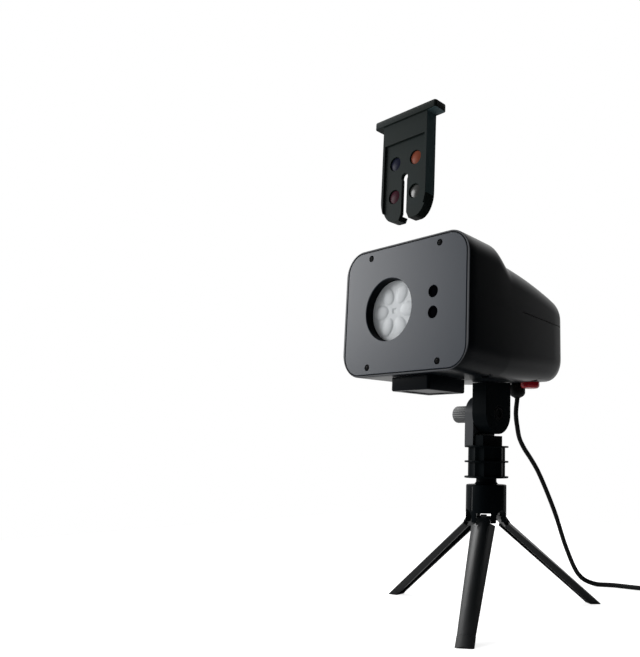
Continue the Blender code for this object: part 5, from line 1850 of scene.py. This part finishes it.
    def build(self, wardrobe: Wardrobe, shell: HeadShell) -> None:
        """Builds the joint.

        Args:
            wardrobe: The materials.
            shell: The head's shell, which the lug meets.
        """
        post = self.post()
        post.finish(wardrobe.get(TRIPOD), "post", "tilt_post", smooth_deg=30.0)
        # The ear and its boss on the left of the post are painted the lighter grey: painted light on the
        # faces that the key lamp reaches.
        right = self.ear[1] + self.soft_rim
        low = self.levels[2] + 0.5 * (self.flange + NEAR)
        post.paint(wardrobe.get(EAR_LIT), lambda middle: middle.x < right and middle.z > low)
        self.build_lug(wardrobe, shell)
        self.build_knob(wardrobe)


@dataclass
class Tripod:
    """The hub, the threaded stud and the three channel legs with their rubber feet."""

    hub_radius: float = 0.0157
    hub_top: float = 0.0929
    hub_bottom: float = 0.0650
    bore_radius: float = 0.0088
    bore_top: float = 0.0785
    root_radius: float = 0.0040
    window: Point = (0.0110, 0.0722)
    arch: Point = (0.0124, 0.0745)
    hub_rim: float = 0.0007
    hub_soft: float = 0.00035
    hub_clear: float = 0.004
    angles: Place = (-60.0, 60.0, 180.0)
    pin: Place = (0.0126, 0.0680, 0.0011)
    pin_bore: Point = (0.00085, 0.0071)
    channel: tuple[float, float, float, float] = (0.0010, 0.0008, 0.0735, 0.0918)
    channel_turn: float = -38.0
    leg_start: float = 0.0048
    foot_span: float = 0.0096
    toe_rise: float = 0.0007
    crown: float = 0.0014
    leg_depth: float = 0.0064
    top_width: float = 0.0185
    toe_width: float = 0.0124
    leg_wall: float = 0.0018
    leg_steps: int = 12
    skin_steps: int = 20
    side_share: float = 0.68
    side_soft: float = 0.0005
    soft_edge: float = 0.0003
    knuckle: Point = (0.0025, 0.0102)
    tongue: Place = (0.0042, 0.0034, 0.0019)
    foot_length: float = 0.0190
    foot_soft: float = 0.0004
    toe_reach: float = 0.0980
    clear: float = 0.024
    stud: Place = (0.0031, 0.0080, 0.0979)
    stud_flare: float = 0.0012
    stud_rim: float = 0.0003
    thread_length: float = 0.0110
    thread_depth: float = 0.0005
    thread_pitch: float = 0.00125

    @property
    def drop(self) -> float:
        """How steeply an open leg falls, in radians."""
        return math.atan2(self.pin[1] + self.toe_rise, self.toe_reach - self.pin[0])

    @property
    def leg_end(self) -> float:
        """Where a leg's channel ends, along it from its pin."""
        return math.hypot(self.pin[1] + self.toe_rise, self.toe_reach - self.pin[0]) - self.foot_span

    def place(self, along: float, across: float, out: float, angle: float) -> Vector:
        """A place on an open leg, counted from its pin.

        Args:
            along: How far along the leg.
            across: How far across it.
            out: How far out.
            angle: The way the leg points, in degrees.

        Returns:
            The place.
        """
        reach, height, _ = self.pin
        drop = self.drop
        level = reach + along * math.cos(drop) + out * math.sin(drop)
        spot = Vector((level, across, height - along * math.sin(drop) + out * math.cos(drop)))
        spot.rotate(Matrix.Rotation(math.radians(angle), 3, "Z"))
        return spot

    def skin(self, half: float, inset: float, steps: int) -> Outline:
        """The leg's crown as points across and out, drawn in by an inset.

        Args:
            half: Half the leg's width.
            inset: How far it is drawn in.
            steps: Stretches across it.

        Returns:
            The points, from right to left.
        """
        reach = self.pin[0]
        radius = reach + self.crown - inset
        spread = math.degrees(math.asin((half - inset) / radius))
        return arc((0.0, -reach), radius, 90.0 - spread, 90.0 + spread, steps)

    def section(self, half: float) -> Outline:
        """The channel section of a leg: its outer skin, then its inner one.

        Args:
            half: Half the leg's width.

        Returns:
            The points round it.
        """
        foot = self.crown - self.leg_depth
        wall = self.leg_wall
        side = self.side_share * half
        soft = self.side_soft
        outer = self.skin(half, 0.0, self.skin_steps)
        outer[0] = (half - 0.3 * soft, outer[0][1] + 0.2 * soft)
        outer[-1] = (0.3 * soft - half, outer[-1][1] + 0.2 * soft)
        right = [(side - soft, foot), (side, foot + soft)]
        left = [(-side, foot + soft), (soft - side, foot)]
        inner = list(reversed(self.skin(half, wall, self.skin_steps - 4)))
        lows = [(wall - side, foot + 0.3 * soft), *inner, (side - wall, foot + 0.3 * soft)]
        return [*right, *outer, *left, *lows]

    def shell(self, angle: float) -> bmesh.types.BMesh:
        """The curved channel of a leg, which narrows towards its foot.

        Args:
            angle: The way the leg points, in degrees.

        Returns:
            The closed form.
        """
        rings = []
        length = self.leg_end - self.leg_start
        for step in range(self.leg_steps + 1):
            share = step / self.leg_steps
            half = 0.5 * (self.top_width + (self.toe_width - self.top_width) * share)
            along = self.leg_start + length * share
            rings.append([self.place(along, across, out, angle) for across, out in self.section(half)])
        return loft(rings)

    def plate(self, outline: Outline, half: float, angle: float) -> bmesh.types.BMesh:
        """An outline of points along and out, drawn out across a leg."""
        return loft([[self.place(a, side, out, angle) for a, out in outline] for side in (-half, half)])

    def build_leg(self, index: int, angle: float, wardrobe: Wardrobe) -> None:
        """Builds a leg and its foot.

        Args:
            index: The leg's number.
            angle: The way it points, in degrees.
            wardrobe: The materials.
        """
        leg = Piece(f"channel_leg_{index}", self.shell(angle))
        radius, width = self.knuckle
        neck_end = self.leg_start + self.leg_wall
        neck = arc((0.0, 0.0), radius, 95.0, 265.0, 24)
        neck = [*neck, (neck_end, -0.6 * self.leg_depth), (neck_end, self.crown - 0.3 * self.leg_wall)]
        leg.add(self.plate(neck, 0.5 * width, angle))
        drop = self.drop
        broad, tall, thick = self.tongue
        rise = Vector((-math.sin(drop), math.cos(drop)))
        side = thick * Vector((math.cos(drop), math.sin(drop)))
        tongue = [-side, side, side + tall * rise, tall * rise - side]
        leg.add(self.plate([tuple(point) for point in tongue], 0.5 * broad, angle))
        reach, height, pin = self.pin
        bore = rod(pin, -0.5 * width - PAST, 0.5 * width + PAST, Direction.Y, (reach, 0.0, height), 24)
        leg.cut(spun(bore, angle))
        leg.soften(self.soft_edge, 2, 50.0)
        leg.finish(wardrobe.get(LEG), f"leg_{index}", f"leg_{index}", smooth_deg=36.0)
        foot = Piece(f"rubber_foot_{index}", self.foot(angle))
        clear = self.clear
        near, far = self.toe_reach - 2.0 * clear, self.toe_reach + 2.0 * clear
        foot.cut(spun(block((near, -clear, -clear), (far, clear, 0.0)), angle))
        foot.cut(spun(block((self.toe_reach, -clear, -clear), (far, clear, clear)), angle))
        foot.soften(self.foot_soft, 2, 50.0)
        foot.finish(wardrobe.get(FOOT), f"leg_{index}", f"foot_{index}", smooth_deg=36.0)

    def foot(self, angle: float) -> bmesh.types.BMesh:
        """The rubber foot before its sole is cut.

        Args:
            angle: The way the leg points, in degrees.

        Returns:
            The closed form.
        """
        half = 0.5 * self.toe_width
        side = self.side_share * half
        low = self.crown - self.leg_depth
        outline = [(side, low), *self.skin(half, 0.0, self.skin_steps), (-side, low)]
        ends = (self.leg_end + 0.2 * GAP, self.leg_end + self.foot_length)
        return loft([[self.place(along, across, out, angle) for across, out in outline] for along in ends])

    def build_hub(self, wardrobe: Wardrobe) -> None:
        """Builds the hub with a window for each leg and an arch between two legs.

        Args:
            wardrobe: The materials.
        """
        soft = self.hub_rim
        root = self.root_radius + GAP
        profile = (
            (root, self.bore_top),
            (self.bore_radius, self.bore_top),
            (self.bore_radius, self.hub_bottom),
            (self.hub_radius - soft, self.hub_bottom),
            (self.hub_radius - 0.3 * soft, self.hub_bottom + 0.3 * soft),
            (self.hub_radius, self.hub_bottom + soft),
            (self.hub_radius, self.hub_top - soft),
            (self.hub_radius - 0.3 * soft, self.hub_top - 0.3 * soft),
            (self.hub_radius - soft, self.hub_top),
            (root, self.hub_top),
        )
        hub = Piece("hub_cap", turned(profile, steps=96))
        reach, height, _ = self.pin
        radius, half = self.pin_bore
        bores = [rod(radius, -half, half, Direction.Y, (reach, 0.0, height), 16) for _ in self.angles]
        hub.cut(merged(spun(bore, angle) for bore, angle in zip(bores, self.angles)))
        inner = 0.4 * self.bore_radius
        outer = self.hub_radius + self.hub_clear
        below = self.hub_bottom - self.hub_clear
        width, top = self.window
        half = 0.5 * self.arch[0]
        crown = arc((0.0, self.arch[1] - half), half, 0.0, 180.0, 24)
        arch = [(half, below), *crown, (-half, below)]
        for angle in self.angles:
            hub.cut(spun(block((inner, -0.5 * width, below), (outer, 0.5 * width, top)), angle))
            hub.cut(spun(prism(arch, inner, outer, Direction.X), angle + 60.0))
        half, depth, low, high = self.channel
        floor = self.hub_radius - depth
        for angle in self.angles:
            hub.cut(spun(block((floor, -half, low), (outer, half, high)), angle + self.channel_turn))
        hub.soften(self.hub_soft, 2, 50.0)
        hub.finish(wardrobe.get(TRIPOD), "stand", "tripod_hub", smooth_deg=34.0)
        # The faces inside the hub's channels are painted the lighter grey: a painted highlight, a light slit
        # down each channel.
        near = floor - 2.0 * NEAR
        far = self.hub_radius - NEAR
        hub.paint(wardrobe.get(LIT_GREY), lambda middle: near < middle.xy.length < far and low < middle.z < high)

    def build_stud(self, wardrobe: Wardrobe) -> None:
        """Builds the stud with its collar and the rolled thread above it.

        Args:
            wardrobe: The materials.
        """
        thread, collar, start = self.stud
        flare = self.stud_flare
        rim = self.stud_rim
        root = self.root_radius
        low = self.bore_top + GAP
        seat = self.hub_top + GAP
        end = start + self.thread_length
        profile = [
            (0.0, low),
            (root, low),
            (root, seat),
            (collar + flare - rim, seat),
            (collar + flare, seat + rim),
            (collar + 0.3 * flare, self.hub_top + 1.3 * flare),
            (collar, self.hub_top + 2.0 * flare),
            (collar, start - GAP - rim),
            (collar - rim, start - GAP),
            (thread, start - GAP),
        ]
        pitch = self.thread_pitch
        for turn in range(int((end - flare - start) / pitch)):
            low = start + turn * pitch
            profile += [(thread, low + 0.1 * pitch), (thread - self.thread_depth, low + 0.55 * pitch)]
        profile += [(thread, end - flare), (thread - flare, end), (0.0, end)]
        stud = Piece("stud_collar", turned(profile, steps=64))
        stud.finish(wardrobe.get(TRIPOD), "stand", "tripod_stud", smooth_deg=30.0)

    def build(self, wardrobe: Wardrobe) -> None:
        """Builds the tripod.

        Args:
            wardrobe: The materials.
        """
        self.build_hub(wardrobe)
        self.build_stud(wardrobe)
        for index, angle in enumerate(self.angles, 1):
            self.build_leg(index, angle, wardrobe)


def numbered(name: str, count: int) -> tuple[str, ...]:
    """The names of so many like solids."""
    return tuple(f"{name}_{number}" for number in range(1, count + 1))


DRESSED: tuple[tuple[Finish, tuple[str, ...]], ...] = (
    (SHELL, ("upper_shell", "lower_shell", "tilt_lug", "sensor_pod", "power_switch", "gland_nut")),
    (PANEL, ("front_panel",)),
    (TRIPOD, ("tripod_hub", *numbered("leg", 3), "tilt_post", "clamp_knob")),
    (INSIDE, ("light_frame", "laser_bracket", "coil_tie")),
    (DARK, numbered("laser_window", 2)),
    (SENSOR, ("sensor_window",)),
    (FROSTED, ("lens_disc",)),
    (CARD, ("slide_card",)),
    (RED, ("power_button",)),
    (RUBBER, (*numbered("foot", 3), "cord_gland")),
    (DARK_STEEL, (*numbered("panel_screw", 4), *numbered("housing_screw", 4))),
    (BOLT, ("clamp_bolt",)),
    (BRIGHT_STEEL, (*numbered("leg_pin", 3), *numbered("laser_module", 2), "motor_shaft")),
    (BRIGHT_STEEL, ("heat_sink", "motor", "tripod_stud")),
    (BOARD, ("led_board", "control_board")),
    (LAMP, numbered("led", 4)),
    *((finish, (f"card_window_{number}",)) for number, finish in enumerate(FILTERS, 1)),
)


def main() -> None:
    """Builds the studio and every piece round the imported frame."""
    logging.basicConfig(level=logging.INFO, format="%(message)s")
    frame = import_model()
    wardrobe = Wardrobe()
    Studio().build()
    PowerCord().build(wardrobe)
    shell = HeadShell()
    shell.build(wardrobe)
    FrontPanel().build(wardrobe)
    LensDisc().build(wardrobe)
    SlideCard().build(wardrobe)
    Underside().build(wardrobe)
    TiltJoint().build(wardrobe, shell)
    Tripod().build(wardrobe)
    for finish, nodes in DRESSED:
        wardrobe.dress(finish, nodes, frame["nodes"])


if __name__ == "__main__":
    main()
